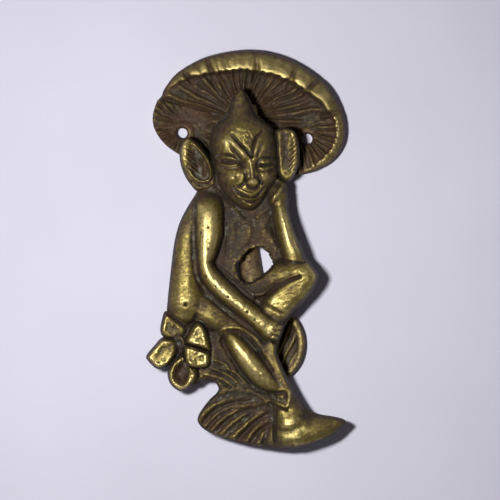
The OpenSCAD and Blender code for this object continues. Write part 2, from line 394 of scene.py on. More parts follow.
def backplate_distance(x, y):
    """Distance to the union of cap, stem and foot, less the two screw holes; negative inside."""
    cap = outline_distance(x, y, spline(CAP_EDGE, closed=True, steps=6))
    stem = np.maximum(abs(x - stem_centre(y)) - stem_half_width(y), np.maximum(y - 2, FOOT_Y - y))
    foot = np.hypot(x - FOOT_X, y - FOOT_Y) - FOOT_R
    d = np.minimum(np.minimum(cap, stem), foot)
    for side in (-1, 1):
        d = np.maximum(d, SCREW_R - np.hypot(x - side * SCREW_HALF, y))
    return d


def gills(x, y, focus, count, start, seed):
    """Uneven ribs fanning out from a focus, 1 on a crest and 0 in a valley, from a radius outwards.

    The turn round the focus wobbles slowly, and each rib has its own height.
    """
    dx, dy = x - focus[0], y - focus[1]
    r = np.hypot(dx, dy)
    turn = np.arctan2(dy, dx) + 0.03 * wander(x, y, 9, seed)
    wave = 0.5 + 0.5 * np.cos(turn * count + 1.2 * np.sin(5 * turn + seed))
    own = 0.7 + 0.3 * np.sin(2.3 * turn * count / 5 + seed + 0.4 * r)
    return wave**0.9 * own * smooth_step((r - start) / 3.5)


def cap_floor(x, y):
    """The ribbed underside inside the roll: one fan above two folds and a smaller fan below each."""
    rho = np.hypot((x - GILL_FOCUS[0]) / 27, (y - GILL_FOCUS[1]) / 15)
    floor = 2.2 + 2.0 * smooth_step((rho - 0.6) / 0.45)
    below_left = smooth_step((np.interp(x, *np.transpose(FOLD_LEFT)) - y) / 0.9) * (x < 0)
    below_right = smooth_step((np.interp(x, *np.transpose(FOLD_RIGHT)) - y) / 0.9) * (x >= 0)
    ribs = gills(x, y, GILL_FOCUS, 44, 3.0, 3) * (1 - below_left) * (1 - below_right)
    ribs += gills(x, y, (-SCREW_HALF + 1.6, 2.2), 33, 3.8, 5) * below_left
    ribs += gills(x, y, (SCREW_HALF - 3.4, 2.4), 36, 3.2, 8) * below_right
    made = Relief(x, y, floor + (1.15 + 0.25 * wander(x, y, 9, 11)) * ribs)
    made.z += 0.16 * wander(x, y, 2.4, 12) + 0.07 * wander(x, y, 0.8, 13)
    made.z += 0.5 * below_left * smooth_step((-x - 17) / 8) - 0.25 * below_right
    made.ridge(FOLD_LEFT, 0.5, -0.5).ridge(FOLD_RIGHT, 0.5, -0.45)
    made.ridge([(-17, 9.0), (-12, 8.1), (-8.5, 6.6)], 0.45, 0.5)
    made.bump(-8.6, 3.4, 2.0, 2.6, 20, 0.5)
    return made, ribs


def backplate_top(x, y):
    """Ribbed cap floor, the roll at its edge, stem and foot, joined by smooth maxima."""
    made, ribs = cap_floor(x, y)
    band = np.concatenate([spline(ROLL_INNER), spline(CAP_EDGE[:14])[::-1]])
    m = outline_distance(x, y, band) < 1.6
    bx, by = x[m], y[m]
    inner, side, _ = along(bx, by, spline(ROLL_INNER))
    inner = inner * side - 0.5 * (1 - ribs[m]) + 0.5
    outer = np.maximum(-outline_distance(bx, by, spline(CAP_EDGE, closed=True, steps=6)), 0)
    width = inner + outer
    u = np.clip((inner - 1.1) / np.maximum(width - 1.1, 0.5), 0, 1)
    slope = 1 - 0.45 * u**1.6
    rounded = np.sqrt(np.clip(1 - np.clip((u - 0.45) / 0.55, 0, 1) ** 2.4, 0, 1))
    rise = smooth_step((inner + 0.4) / 1.3)
    swell = np.clip(width / 6.0, 0.25, 1) * smooth_step((bx + 24.6) / 3)
    swell *= 1 + 0.04 * wander(bx, by, 6, 14)
    roll = 2.8 + 4.7 * swell * slope * (0.35 + 0.65 * rounded) * rise
    buried = made.z[m] - 3.5 * smooth_step((inner - 0.3) / 1.6)
    made.z[m] = np.where(inner > -0.4, smooth_max(buried, roll, 0.25), made.z[m])
    for path in ROLL_NICKS:
        made.ridge(np.column_stack([path, [0.6, 1.0, 0.3]]), 0.75, -1.3)
    made.bump(-24.4, 8.9, 0.8, 0.8, 0, 1.2)
    for side in (-1, 1):
        made.dome(side * SCREW_HALF, 0, 3.6, 3.6, 0, 3.0, 1.8, blend=0.8, power=3)
    edge = np.minimum(np.hypot(x + SCREW_HALF, y), np.hypot(x - SCREW_HALF, y)) - SCREW_R
    made.z -= 0.25 * np.exp(-((edge / 0.3) ** 2))

    across = (x - stem_centre(y)) / stem_half_width(y)
    stem = 1.8 + 2.2 * np.sqrt(np.clip(1 - across**2, 0, None)) + 0.06 * wander(x, y, 2, 21)
    cap_inside = -outline_distance(x, y, spline(CAP_EDGE, closed=True, steps=6))
    made.z = np.where((cap_inside < -0.05) & (y < -5), stem, made.z)

    fr = np.hypot(x - FOOT_X, y - FOOT_Y)
    m = fr < FOOT_R + 0.5
    slant = (x[m] - FOOT_X) * math.cos(math.radians(-20)) + (y[m] - FOOT_Y) * math.sin(math.radians(-20))
    slant += 0.5 * wander(x[m], y[m], 9, 31)
    ribs = 2.0 + 1.0 * (0.5 + 0.5 * np.cos(slant * 2 * math.pi / 2.5)) ** 1.4
    middle = 2.2 + 0.8 * smooth_step((5.5 - fr[m]) / 1.0)
    disc = smooth_max(ribs, middle, 0.2)
    lip = 2.0 + 1.5 * np.sqrt(np.clip(1 - ((fr[m] - FOOT_R + 1.15) / 1.35) ** 2, 0, None))
    made.z[m] = smooth_max(disc, lip, 0.25) + 0.07 * wander(x[m], y[m], 1.5, 33)

    edge = np.clip(-backplate_distance(x, y) / 0.8, 0, 1)
    made.z -= 0.7 * (1 - np.sqrt(np.clip(1 - (1 - edge) ** 2, 0, 1)))
    return np.maximum(made.z, 1.2)


def backplate_polish(x, y, z):
    """Hands have rubbed the roll and the foot's rim, and hardly touched the gills."""
    gill = 0.04 + 0.10 * smooth_step((x - 15) / 8) * (y < 8)
    near = (y > -11) & ((x > 16) | (y > 8)) & (x > -24.4)
    on_roll = np.zeros(x.shape)
    away, side, _ = along(x[near], y[near], spline(ROLL_INNER))
    on_roll[near] = smooth_step((away * side - 0.1) / 0.9) * (0.3 + 0.7 * smooth_step((z[near] - 5.4) / 1.5))
    foot = np.hypot(x - FOOT_X, y - FOOT_Y) < FOOT_R + 0.2
    on_stem = (y < -11) & ~foot
    return gill + 0.50 * on_roll + 0.18 * foot + 0.10 * on_stem


# ---------------------------------------------------------------- the figure below the head


BODY_EDGE = [
    (-8.0, -11.0), (-12.2, -15.8), (-13.6, -18.2), (-15.6, -21.8), (-17.5, -26.2), (-18.7, -32.2),
    (-19.4, -41.4), (-19.8, -48.0), (-19.8, -51.8), (-18.6, -56.0), (-16.6, -61.0), (-14.6, -66.0),
    (-12.6, -71.0), (-10.6, -71.6), (-8.9, -70.3), (-6.0, -70.3), (-4.3, -72.0), (-4.7, -73.8),
    (-6.9, -76.1), (-9.6, -80.4), (-9.3, -82.8), (-6.5, -84.9), (-1.0, -86.6), (5.3, -87.9),
    (13.0, -88.7), (17.4, -88.6), (22.9, -87.1), (28.7, -84.4), (31.6, -81.4), (32.4, -80.4),
    (31.6, -79.6), (28.6, -79.0), (24.1, -78.4), (20.6, -76.6), (17.1, -71.7), (14.5, -67.2),
    (12.5, -62.9), (11.9, -60.2), (12.9, -57.0), (14.2, -53.1), (17.6, -48.6), (21.0, -44.0),
    (22.8, -39.8), (22.4, -38.2), (19.5, -34.7), (18.4, -33.0), (16.8, -28.8), (15.0, -24.6),
    (13.6, -20.4), (13.0, -16.0), (11.8, -12.6), (4.0, -10.0),
]
LAP_GAP = [
    (5.2, -31.6), (3.4, -32.2), (1.8, -33.5), (0.6, -35.2), (-0.5, -36.5), (-0.8, -38.6), (0.0, -40.4),
    (1.2, -41.6), (2.9, -41.8), (5.2, -40.7), (8.0, -38.5), (9.5, -36.6), (9.2, -35.2), (8.2, -33.6),
    (6.8, -32.1),
]
FLOWER_X, FLOWER_Y = -15.9, -59.9
# Height to which the casting's edge is dressed
SKIRT_Z = 9.6
# Each petal: its outline, the height of its rim and how deep its hammered middle lies
PETALS = [
    ([(-20.2, -51.1), (-21.2, -53.5), (-21.4, -57.4), (-19.0, -59.2), (-15.4, -58.6), (-14.1, -55.9),
      (-17.3, -53.2)],
     11.4, 0.6),
    ([(-13.8, -62.6), (-17.2, -64.6), (-18.9, -68.0), (-18.4, -71.0), (-16.8, -72.9), (-14.5, -73.7),
      (-11.8, -72.2),
      (-10.0, -69.4), (-10.5, -66.7), (-12.0, -63.6)], 12.6, 2.2),
    ([(-16.8, -59.0), (-20.8, -58.7), (-22.9, -60.9), (-25.1, -63.9), (-24.6, -65.5), (-21.8, -67.7),
      (-19.1, -66.9),
      (-17.4, -65.1), (-16.0, -61.8)], 12.4, 0.45),
    ([(-14.6, -60.4), (-10.7, -60.6), (-7.4, -61.8), (-6.6, -64.2), (-7.3, -66.3), (-9.3, -67.0),
      (-12.2, -66.8),
      (-14.4, -64.4)], 13.4, 0.4),
    ([(-14.4, -59.6), (-13.3, -56.7), (-11.8, -54.2), (-10.3, -53.6), (-8.5, -55.2), (-7.3, -58.4),
      (-6.8, -61.9),
      (-9.9, -61.3), (-12.7, -60.7)], 13.6, 0.4),
]
LEAF_EDGE = [(-9.4, -81.1), (-6.9, -76.3), (-4.7, -73.9), (-1.6, -72.6), (3.1, -72.4), (7.1, -73.7),
             (9.9, -75.6)]
# The leaf's ribs from the tips to the root, with how strong each is
LEAF_RIBS = [
    ([(-8.9, -81.3), (-6.8, -78.7), (-4.5, -76.8), (0.1, -75.2), (4.4, -74.9)], 1.0),
    ([(-7.6, -83.4), (-5.4, -80.6), (-3.0, -78.7), (0.6, -77.2), (4.2, -76.6)], 0.6),
    ([(-5.8, -84.4), (-3.4, -81.6), (-0.9, -79.6), (2.9, -77.6), (7.2, -76.4)], 1.0),
    ([(-3.0, -85.4), (-0.4, -82.6), (2.2, -80.3), (5.2, -78.4)], 0.8),
    ([(0.2, -86.5), (3.0, -83.5), (5.8, -80.6), (9.6, -77.9)], 1.1),
    ([(4.3, -87.3), (6.5, -83.7), (10.1, -80.9)], 1.0),
    ([(8.0, -88.0), (9.0, -85.0), (10.7, -82.4)], 0.8),
    ([(10.9, -88.2), (11.7, -83.7), (11.5, -78.6)], 0.7),
]


def body_distance(x, y):
    """Distance to the figure below the head with its petals, less the gap above the thigh."""
    d = outline_distance(x, y, spline(BODY_EDGE, closed=True, steps=5))
    for outline, _, _ in PETALS:
        d = np.minimum(d, outline_distance(x, y, spline(outline, closed=True, steps=5)))
    gap = outline_distance(x, y, spline(LAP_GAP, closed=True, steps=4)) + 0.22 * wander(x, y, 1.4, 40)
    return np.maximum(d, -gap)


def trunk_and_legs(made):
    """The masses under the arms: trunk, hip, thigh, knee and both shins.

    Rows are x, y, top, width left and width right of travel.
    """
    made.limb(
        [(-12.2, -17.6, 11.2, 2.6, 1.8), (-13.6, -22.5, 13.2, 3.8, 3.4), (-14.4, -29.0, 14.2, 4.6, 4.2),
         (-14.8, -36.0, 14.4, 4.8, 4.6), (-14.8, -42.0, 14.6, 5.0, 5.0), (-14.5, -47.0, 14.9, 5.3, 5.6)],
        9.0, blend=0.9, power=2.2)
    made.dome(-14.2, -48.2, 5.6, 6.2, 0, 15.0, 9.0, blend=1.6, power=2.2)
    made.dome(-8.0, -51.0, 7.0, 4.6, -32, 14.0, 9.4, blend=1.6, power=2.2)
    made.limb(
        [(-11.6, -46.5, 13.0, 5.0, 3.5), (-7.4, -50.6, 13.4, 5.0, 3.6), (-2.6, -54.0, 13.0, 4.4, 4.0),
         (2.4, -56.4, 12.4, 3.8, 4.0), (6.0, -59.6, 12.0, 3.6, 3.6)], 9.4, blend=1.6)
    made.limb(
        [(3.0, -44.4, 11.2, 4.0, 3.4), (6.2, -42.8, 12.0, 4.4, 3.2), (9.2, -41.2, 13.4, 4.2, 2.6),
         (12.6, -39.6, 14.6, 4.2, 2.2), (15.6, -38.8, 15.4, 4.0, 2.0), (18.6, -38.4, 15.6, 3.6, 2.4)],
        9.6, blend=1.0, power=2.0)
    made.dome(18.0, -39.0, 5.4, 4.8, -40, 16.0, 9.0, blend=1.6, power=2.6)
    made.limb(
        [(18.6, -39.6, 16.0, 4.4, 4.6), (16.4, -42.4, 16.0, 4.6, 4.8), (13.7, -45.6, 15.5, 4.6, 4.8),
         (11.2, -48.8, 14.8, 4.3, 4.5), (9.4, -52.0, 13.6, 3.8, 3.8)],
        9.2, blend=0.7, power=3.2)
    made.ridge([(5.4, -46.4), (8.2, -45.6), (11.0, -43.0), (14.1, -40.9), (17.2, -39.6)], 0.5, -1.1)
    made.ridge([(4.6, -45.6), (7.4, -45.0), (10.4, -42.4), (13.8, -40.1), (16.8, -38.9)], 0.3, 0.4)
    made.limb(
        [(10.6, -56.6, 12.4, 2.4, 3.0), (10.4, -61.5, 12.8, 2.2, 3.2), (12.2, -66.0, 13.0, 2.2, 3.2),
         (14.0, -70.0, 13.0, 2.4, 2.8), (15.2, -73.6, 12.8, 2.6, 3.2)], 9.2, blend=1.0, power=2.6)
    made.limb(
        [(-2.2, -56.6, 13.2, 1.4, 1.8), (-0.2, -58.8, 15.0, 2.6, 2.6), (2.6, -62.2, 16.0, 3.1, 3.2),
         (5.8, -65.9, 15.8, 3.2, 3.5), (9.4, -69.2, 14.6, 2.8, 3.4), (13.4, -71.6, 12.8, 1.3, 1.8)],
        9.4, blend=0.4, power=2.2)
    return made


def arms(made):
    """Both arms and the hand that rests over the shin."""
    made.limb(
        [(-9.6, -15.8, 10.8, 3.4, 2.8), (-9.6, -18.0, 13.0, 4.2, 3.8), (-9.4, -20.6, 15.4, 4.6, 4.4),
         (-9.2, -24.0, 16.8, 4.5, 4.4), (-9.0, -29.0, 17.3, 4.2, 4.4), (-9.3, -33.6, 17.3, 3.3, 3.5),
         (-9.4, -37.0, 17.2, 2.4, 2.7), (-8.0, -40.4, 17.2, 2.9, 2.9), (-5.2, -43.6, 17.4, 3.2, 2.9),
         (-1.4, -46.7, 17.5, 3.1, 2.7), (3.2, -50.1, 17.2, 3.1, 2.6), (7.0, -53.0, 16.6, 3.5, 2.9),
         (9.4, -54.8, 15.9, 3.8, 3.4)],
        9.0, blend=0.5, power=2.3)
    made.dome(10.0, -54.8, 4.0, 3.8, -30, 15.9, 9.4, blend=1.0, power=2.5)
    made.limb(
        [(9.9, -17.0, 12.0, 2.4, 1.8), (10.8, -20.0, 13.6, 2.4, 2.2), (12.2, -24.6, 15.2, 2.3, 2.9),
         (13.9, -29.6, 15.8, 2.6, 3.2), (15.2, -33.0, 15.4, 3.2, 3.2), (16.0, -36.0, 15.0, 3.6, 3.2)],
        9.2, blend=1.0, power=1.9)
    made.ridge([(9.6, -35.4), (12.7, -35.2), (16.0, -35.7), (19.2, -35.4)], 0.36, -0.55)
    made.ridge([(9.8, -34.8), (12.7, -34.6), (16.0, -35.1), (18.8, -34.8)], 0.22, 0.25)
    for (x0, y0), (x1, y1) in (
        ((13.6, -53.2), (11.4, -53.0)), ((13.4, -55.1), (10.8, -54.6)), ((12.8, -57.0), (10.0, -56.1)),
        ((11.4, -58.8), (9.2, -57.3)),
    ):
        made.ridge([(x0, y0, 1.0), (x1, y1, 0.2)], 0.36, -1.3)
    for pit in ((11.5, -53.6), (10.2, -56.7), (11.2, -55.1), (9.0, -58.2)):
        made.bump(*pit, 0.5, 0.4, 30, -0.7)
    return made


def folds_and_marks(made):
    """Seams, creases, the ribs beside the gap, roots under the flower, and casting pits."""
    made.ridge([(-4.5, -58.2), (-4.2, -56.0), (-1.8, -54.9), (1.8, -55.0), (5.2, -56.4), (7.4, -59.6),
                (8.3, -63.1),
                (10.0, -65.8)], 0.45, 0.3)
    made.ridge([(-3.4, -58.6), (-2.8, -56.6), (-0.8, -55.9), (2.2, -56.6), (4.8, -58.4), (7.2, -61.8),
                (10.6, -66.4)],
               0.5, -0.9)
    made.ridge([(-4.0, -58.6), (-2.9, -60.6), (-0.2, -64.6), (2.4, -68.2), (5.6, -71.2), (9.8, -73.0),
                (14.4, -72.6)],
               0.55, -0.9)
    made.ridge([(-13.6, -26.6, 0.2), (-13.4, -30.0, 0.6), (-13.0, -35.2, 1), (-12.2, -40.2, 1),
                (-10.0, -44.6, 1)], 0.5, -0.6)
    made.ridge([(-10.0, -44.6), (-8.2, -46.6), (-3.8, -50.0), (1.2, -53.6), (6.2, -56.8), (8.2, -58.6)],
               0.5, -0.7)
    made.ridge([(-7.8, -36.6), (-3.2, -39.8), (2.5, -44.0), (8.0, -47.7), (12.8, -50.2)], 0.4, -0.6)
    made.ridge([(-11.4, -50.6), (-8.4, -52.2), (-5.6, -53.7)], 1.2, 0.3)
    made.ridge([(-19.9, -51.4), (-18.2, -54.4), (-15.0, -55.4), (-12.4, -54.0), (-11.4, -51.6)], 0.45, -1.2)
    made.ridge([(5.6, -24.8, 0.5), (7.4, -28.2, 1), (9.6, -30.8, 1), (12.0, -33.8, 0.6)], 1.8, 1.0)
    made.ridge([(8.6, -23.6), (9.6, -27.4), (11.4, -31.2)], 0.6, -0.6)
    made.ridge([(0.9, -24.8, 0.4), (2.5, -26.6, 1), (2.2, -29.4, 1), (0.6, -32.0, 0.3)], 1.2, 0.5)
    made.ridge([(-1.6, -22.6, 0.3), (-2.6, -26.6, 1), (-2.2, -30.8, 0.3)], 1.5, 0.4)
    made.ridge([(-4.4, -24.4), (-4.1, -29.4), (-4.5, -33.4)], 0.3, 0.35)
    made.ridge([(-6.4, -29.0), (-6.6, -33.0), (-7.2, -36.4)], 0.6, 0.35)
    made.ridge([(-8.6, -14.6), (-4.8, -18.4), (-1.8, -21.2), (0.8, -23.7)], 0.24, 0.8)
    made.ridge([(11.9, -13.0), (11.0, -14.8), (9.6, -16.8), (8.6, -18.6)], 0.7, 1.0)
    made.ridge([(4.6, -23.0), (7.6, -20.4), (9.2, -17.2)], 0.9, 0.4)
    made.bump(4.6, -23.4, 0.7, 0.6, 0, 0.5).bump(1.8, -24.8, 0.9, 0.6, 20, 0.4)
    made.ridge(spline(LAP_GAP, closed=True, steps=4)[:44], 0.5, 0.75, steps=1)
    for k, (start, end) in enumerate((
        ((-3.6, -66.4), (2.2, -69.2)), ((-6.2, -66.8), (0.8, -70.4)), ((-8.4, -68.4), (-0.8, -71.2)),
        ((-5.6, -64.4), (-1.4, -67.0)),
    )):
        bow = (0.5 * (start[0] + end[0]) + 0.4, 0.5 * (start[1] + end[1]) + 0.5)
        made.ridge([start, bow, end], 0.5, 0.5 if k % 2 else 0.35)
        made.ridge([(start[0], start[1] - 0.8), (bow[0], bow[1] - 0.8), (end[0], end[1] - 0.7)], 0.4, -0.5)
    pits = ((-9.3, -40.9, 0.42), (-14.5, -48.9, 0.5), (-11.2, -28.5, 0.3), (3.0, -50.2, 0.35),
            (-9.0, -26.9, 0.2),
            (-2.6, -46.2, 0.22), (-8.7, -33.0, 0.2), (5.2, -52.4, 0.25), (-6.4, -43.4, 0.18))
    for px, py, r in pits:
        made.bump(px, py, r, r * 1.3, 0, -0.8)
    return made


def flower(made):
    """Five petals, each with a smooth raised rim round a hammered middle, and a hollow bud."""
    x, y = made.x, made.y
    for k, (outline, rim_z, depth) in enumerate(PETALS):
        m = made.near(outline, 1)
        px, py = x[m], y[m]
        s = -outline_distance(px, py, spline(outline, closed=True, steps=5))
        rim = np.sqrt(np.clip(1 - (np.clip(1.7 - s, 0, 1.7) / 1.7) ** 2, 0, 1))
        dish = depth * smooth_step((s - 1.0) / 2.4)
        rough = 0.16 * wander(px, py, 1.9, 60 + k) * smooth_step((s - 0.7) / 1.0)
        toward = np.exp(-((np.hypot(px - FLOWER_X, py - FLOWER_Y) / 3.4) ** 2))
        height = 9.2 + (rim_z - 9.2) * rim - dish + rough - 0.9 * toward
        made.z[m] = np.where(s > -0.05, height,
                             np.where(s > -0.6, np.minimum(made.z[m], rim_z - 1.4), made.z[m]))
    made.ridge([(-14.0, -60.2), (-10.4, -61.0), (-7.0, -62.2)], 0.32, -0.9)
    made.ridge([(-12.8, -65.6, 0.6), (-12.4, -68.4, 1), (-13.4, -71.4, 0.6)], 1.1, 1.5)
    made.dome(FLOWER_X, FLOWER_Y, 1.9, 2.4, 10, 12.4, 8.8, blend=0.4)
    made.bump(FLOWER_X, FLOWER_Y, 1.3, 1.8, 10, -2.2)
    return made


def leaf_and_boot(made):
    """The fan leaf with its bowed ribs, the zigzag cuff, and the pointed boot."""
    made.ridge(LEAF_EDGE, 0.8, 0.5)
    for path, strength in LEAF_RIBS:
        path = np.array(path)
        swell = np.interp(np.arange(len(path)), [0, 1, len(path) - 1], [0.8, 1.0, 0.35]) * strength
        made.ridge(np.column_stack([path, swell]), 0.85, 0.95)
        made.ridge(np.column_stack([path + (0.9, -0.8), swell]), 0.7, -0.8)
    made.limb(
        [(14.6, -72.6, 12.8, 2.6, 3.0), (15.4, -76.2, 13.6, 4.0, 4.0), (16.2, -79.6, 14.2, 5.2, 4.6),
         (17.0, -83.4, 14.0, 6.4, 4.8)],
        9.0, blend=1.6, power=2.4)
    made.dome(16.5, -81.4, 3.6, 3.5, 20, 14.8, 10.0, blend=2.2)
    made.limb(
        [(12.8, -85.4, 12.2, 3.2, 3.2), (16.6, -84.6, 13.8, 3.8, 4.0), (20.6, -83.6, 14.0, 5.0, 4.4),
         (25.0, -82.4, 13.2, 3.9, 4.2), (28.8, -81.2, 12.0, 2.6, 2.8), (32.0, -80.4, 10.8, 0.9, 0.9)],
        8.8, blend=1.8, power=2.4)
    made.ridge([(13.4, -83.0, 0.4), (15.4, -83.4, 1), (17.4, -83.0, 1), (19.2, -81.4, 0.4)], 0.9, -0.7)
    made.ridge([(19.6, -77.2, 0.3), (20.6, -79.8, 1), (23.2, -81.6, 0.3)], 1.4, -0.5)
    made.ridge([(12.5, -77.0), (12.2, -80.6), (12.3, -84.4), (12.8, -87.8)], 0.5, -0.9)
    made.ridge([(2.6, -69.7), (6.6, -71.8), (9.8, -73.4)], 0.4, 0.35)
    made.ridge([(10.5, -75.2), (13.0, -75.8), (15.3, -76.3), (15.9, -74.3), (15.8, -72.0)], 0.5, 0.8,
               steps=3)
    made.ridge([(10.4, -75.6), (12.8, -76.7), (15.4, -77.4)], 0.35, -0.7)
    made.ridge([(13.2, -74.6), (14.4, -74.6), (15.0, -73.2)], 0.4, -0.7)
    return made


def body_top(x, y):
    """The figure below the head: a thin skin, then limbs, folds, flower, leaf and boot on it."""
    skin = np.full(x.shape, 10.0)
    skin += 1.2 * smooth_step((y + 26) / 8)
    skin += 0.8 * smooth_step((-y - 56) / 4) * smooth_step((y + 80) / 8)
    made = Relief(x, y, skin + 0.12 * wander(x, y, 3.0, 41) + 0.05 * wander(x, y, 1.0, 42))
    made.dome(10.2, -17.4, 3.4, 4.6, 20, 13.2, 9.0, blend=1.2)
    trunk_and_legs(made)
    leaf_and_boot(made)
    arms(made)
    folds_and_marks(made)
    flower(made)
    made.z += 0.05 * wander(x, y, 1.3, 43) + 0.09 * wander(x, y, 3.6, 44)
    inside = np.clip(-body_distance(x, y), 0, 1.0)
    made.z -= 1.0 * (1 - np.sqrt(np.clip(1 - (1 - inside) ** 2, 0, 1)))
    made.z = SKIRT_Z + (made.z - SKIRT_Z) * (0.35 + 0.65 * smooth_step(inside / 0.9))
    return np.maximum(made.z, BACK_Z + 1.2)


def body_polish(x, y, z):
    """Rubbed bright where it stands highest; the chest, the roots and the leaf's valleys stay brown."""
    high = smooth_step((z - 11.4) / 4.2)
    petals = np.hypot((x + 15.5) / 9.5, (y + 63) / 11.5) < 1
    boot = smooth_step((x - 13) / 2) * smooth_step((-y - 75) / 2)
    leaf = smooth_step((-y - 72) / 3) * (1 - boot)
    thigh = np.exp(-((np.hypot((x - 8.0) / 7.5, (y + 42) / 4.5)) ** 4))
    side = smooth_step((-12.8 - x) / 1.2) * (y < -18) * (0.9 + 0.5 * smooth_step((y + 42) / 10))
    knee = np.exp(-((np.hypot((x - 17.5) / 6.5, (y + 42) / 8)) ** 4))
    shoulder = smooth_step((y + 22) / 4) * (x < 0)
    elbow = np.exp(-((np.hypot((x - 15.4) / 3.4, (y + 34.5) / 3.4)) ** 2))
    lap = np.exp(-((np.hypot((x + 7.6) / 6.0, (y + 51.0) / 4.0)) ** 4))
    gap = abs(outline_distance(x, y, spline(LAP_GAP, closed=True, steps=4)))
    rub_and_painted_light = 0.1 + 0.42 * high - 0.14 * thigh - 0.14 * side - 0.18 * knee - 0.2 * shoulder
    rub_and_painted_light = rub_and_painted_light - 0.12 * elbow - 0.18 * lap
    rub_and_painted_light += 0.18 * np.exp(-((gap / 0.7) ** 2))
    bud = np.exp(-((np.hypot(x - FLOWER_X, y - FLOWER_Y) / 2.6) ** 4))
    cup = np.exp(-(np.hypot((x + 15.6) / 2.8, (y + 68.0) / 3.6) ** 4))
    rub_and_painted_light = np.where(petals, 0.24 + 0.16 * smooth_step((z - 10.4) / 2) - 0.3 * bud - 0.16 * cup, rub_and_painted_light)
    return rub_and_painted_light + 0.02 * boot - 0.04 * leaf


def hollow_back(distance, wall):
    """The back of a casting: level at its edge, then following the front at the wall's thickness."""

    def bottom(x, y, front):
        inside = -distance(x, y)
        hollow = smooth_step((inside - 1.6) / 2.2)
        return BACK_Z + hollow * np.clip(front - wall - BACK_Z, 0, None)

    return bottom


# ---------------------------------------------------------------- the head and ears


# Rows down the head: y, left edge, right edge, height of the middle above the back edge
HEAD_ROWS = [
    (12.5, -1.7, -1.2, 4.6), (11.9, -2.9, -0.2, 5.3), (10.8, -3.9, 0.5, 6.0), (9.3, -4.5, 1.3, 6.6),
    (7.3, -5.0, 2.5, 7.2), (5.3, -6.0, 3.9, 8.0), (3.6, -7.4, 6.2, 8.9), (2.0, -8.8, 8.2, 9.8),
    (-0.5, -9.8, 9.2, 10.9), (-3.6, -9.9, 10.0, 11.4), (-6.6, -9.5, 10.4, 11.3), (-9.0, -8.9, 10.5, 11.0),
    (-11.4, -8.2, 10.3, 10.8), (-14.0, -7.4, 9.4, 10.6), (-16.6, -5.9, 7.8, 10.2), (-18.8, -4.0, 6.4, 9.6),
    (-20.3, -1.8, 5.2, 8.8), (-21.2, 0.0, 4.2, 7.8), (-21.7, 1.6, 3.0, 6.6),
]
EAR_LEFT = [
    (-16.0, -1.4), (-17.5, -2.7), (-18.3, -4.9), (-18.2, -7.5), (-17.6, -10.0), (-16.4, -12.6),
    (-14.8, -14.8),
    (-12.9, -16.6), (-10.8, -16.4), (-7.6, -15.0), (-7.4, -12.2), (-8.0, -9.6), (-9.6, -6.8), (-11.6, -4.4),
    (-13.8, -2.4),
]
EAR_RIGHT = [
    (8.6, 1.4), (10.6, 2.5), (12.4, 2.5), (14.1, 1.7), (15.3, -0.6), (15.9, -4.3), (15.7, -7.9),
    (14.8, -10.8),
    (13.3, -12.7), (11.6, -12.6), (10.0, -10.6), (9.2, -6.4), (8.8, -2.0),
]


def head_edges(y):
    """Left edge, right edge and middle height of the head at each y, smooth through the rows."""
    rows = spline(HEAD_ROWS[::-1], steps=10)
    rows = rows[np.argsort(rows[:, 0])]
    return [np.interp(y, rows[:, 0], rows[:, k]) for k in (1, 2, 3)]


def head_distance(x, y):
    """Distance to the union of the head and its two ears."""
    rows = spline(HEAD_ROWS, steps=6)
    ring = np.concatenate([rows[:, [1, 0]], rows[::-1, [2, 0]]])
    d = outline_distance(x, y, ring)
    for ear in (EAR_LEFT, EAR_RIGHT):
        d = np.minimum(d, outline_distance(x, y, spline(ear, closed=True, steps=5)))
    return d


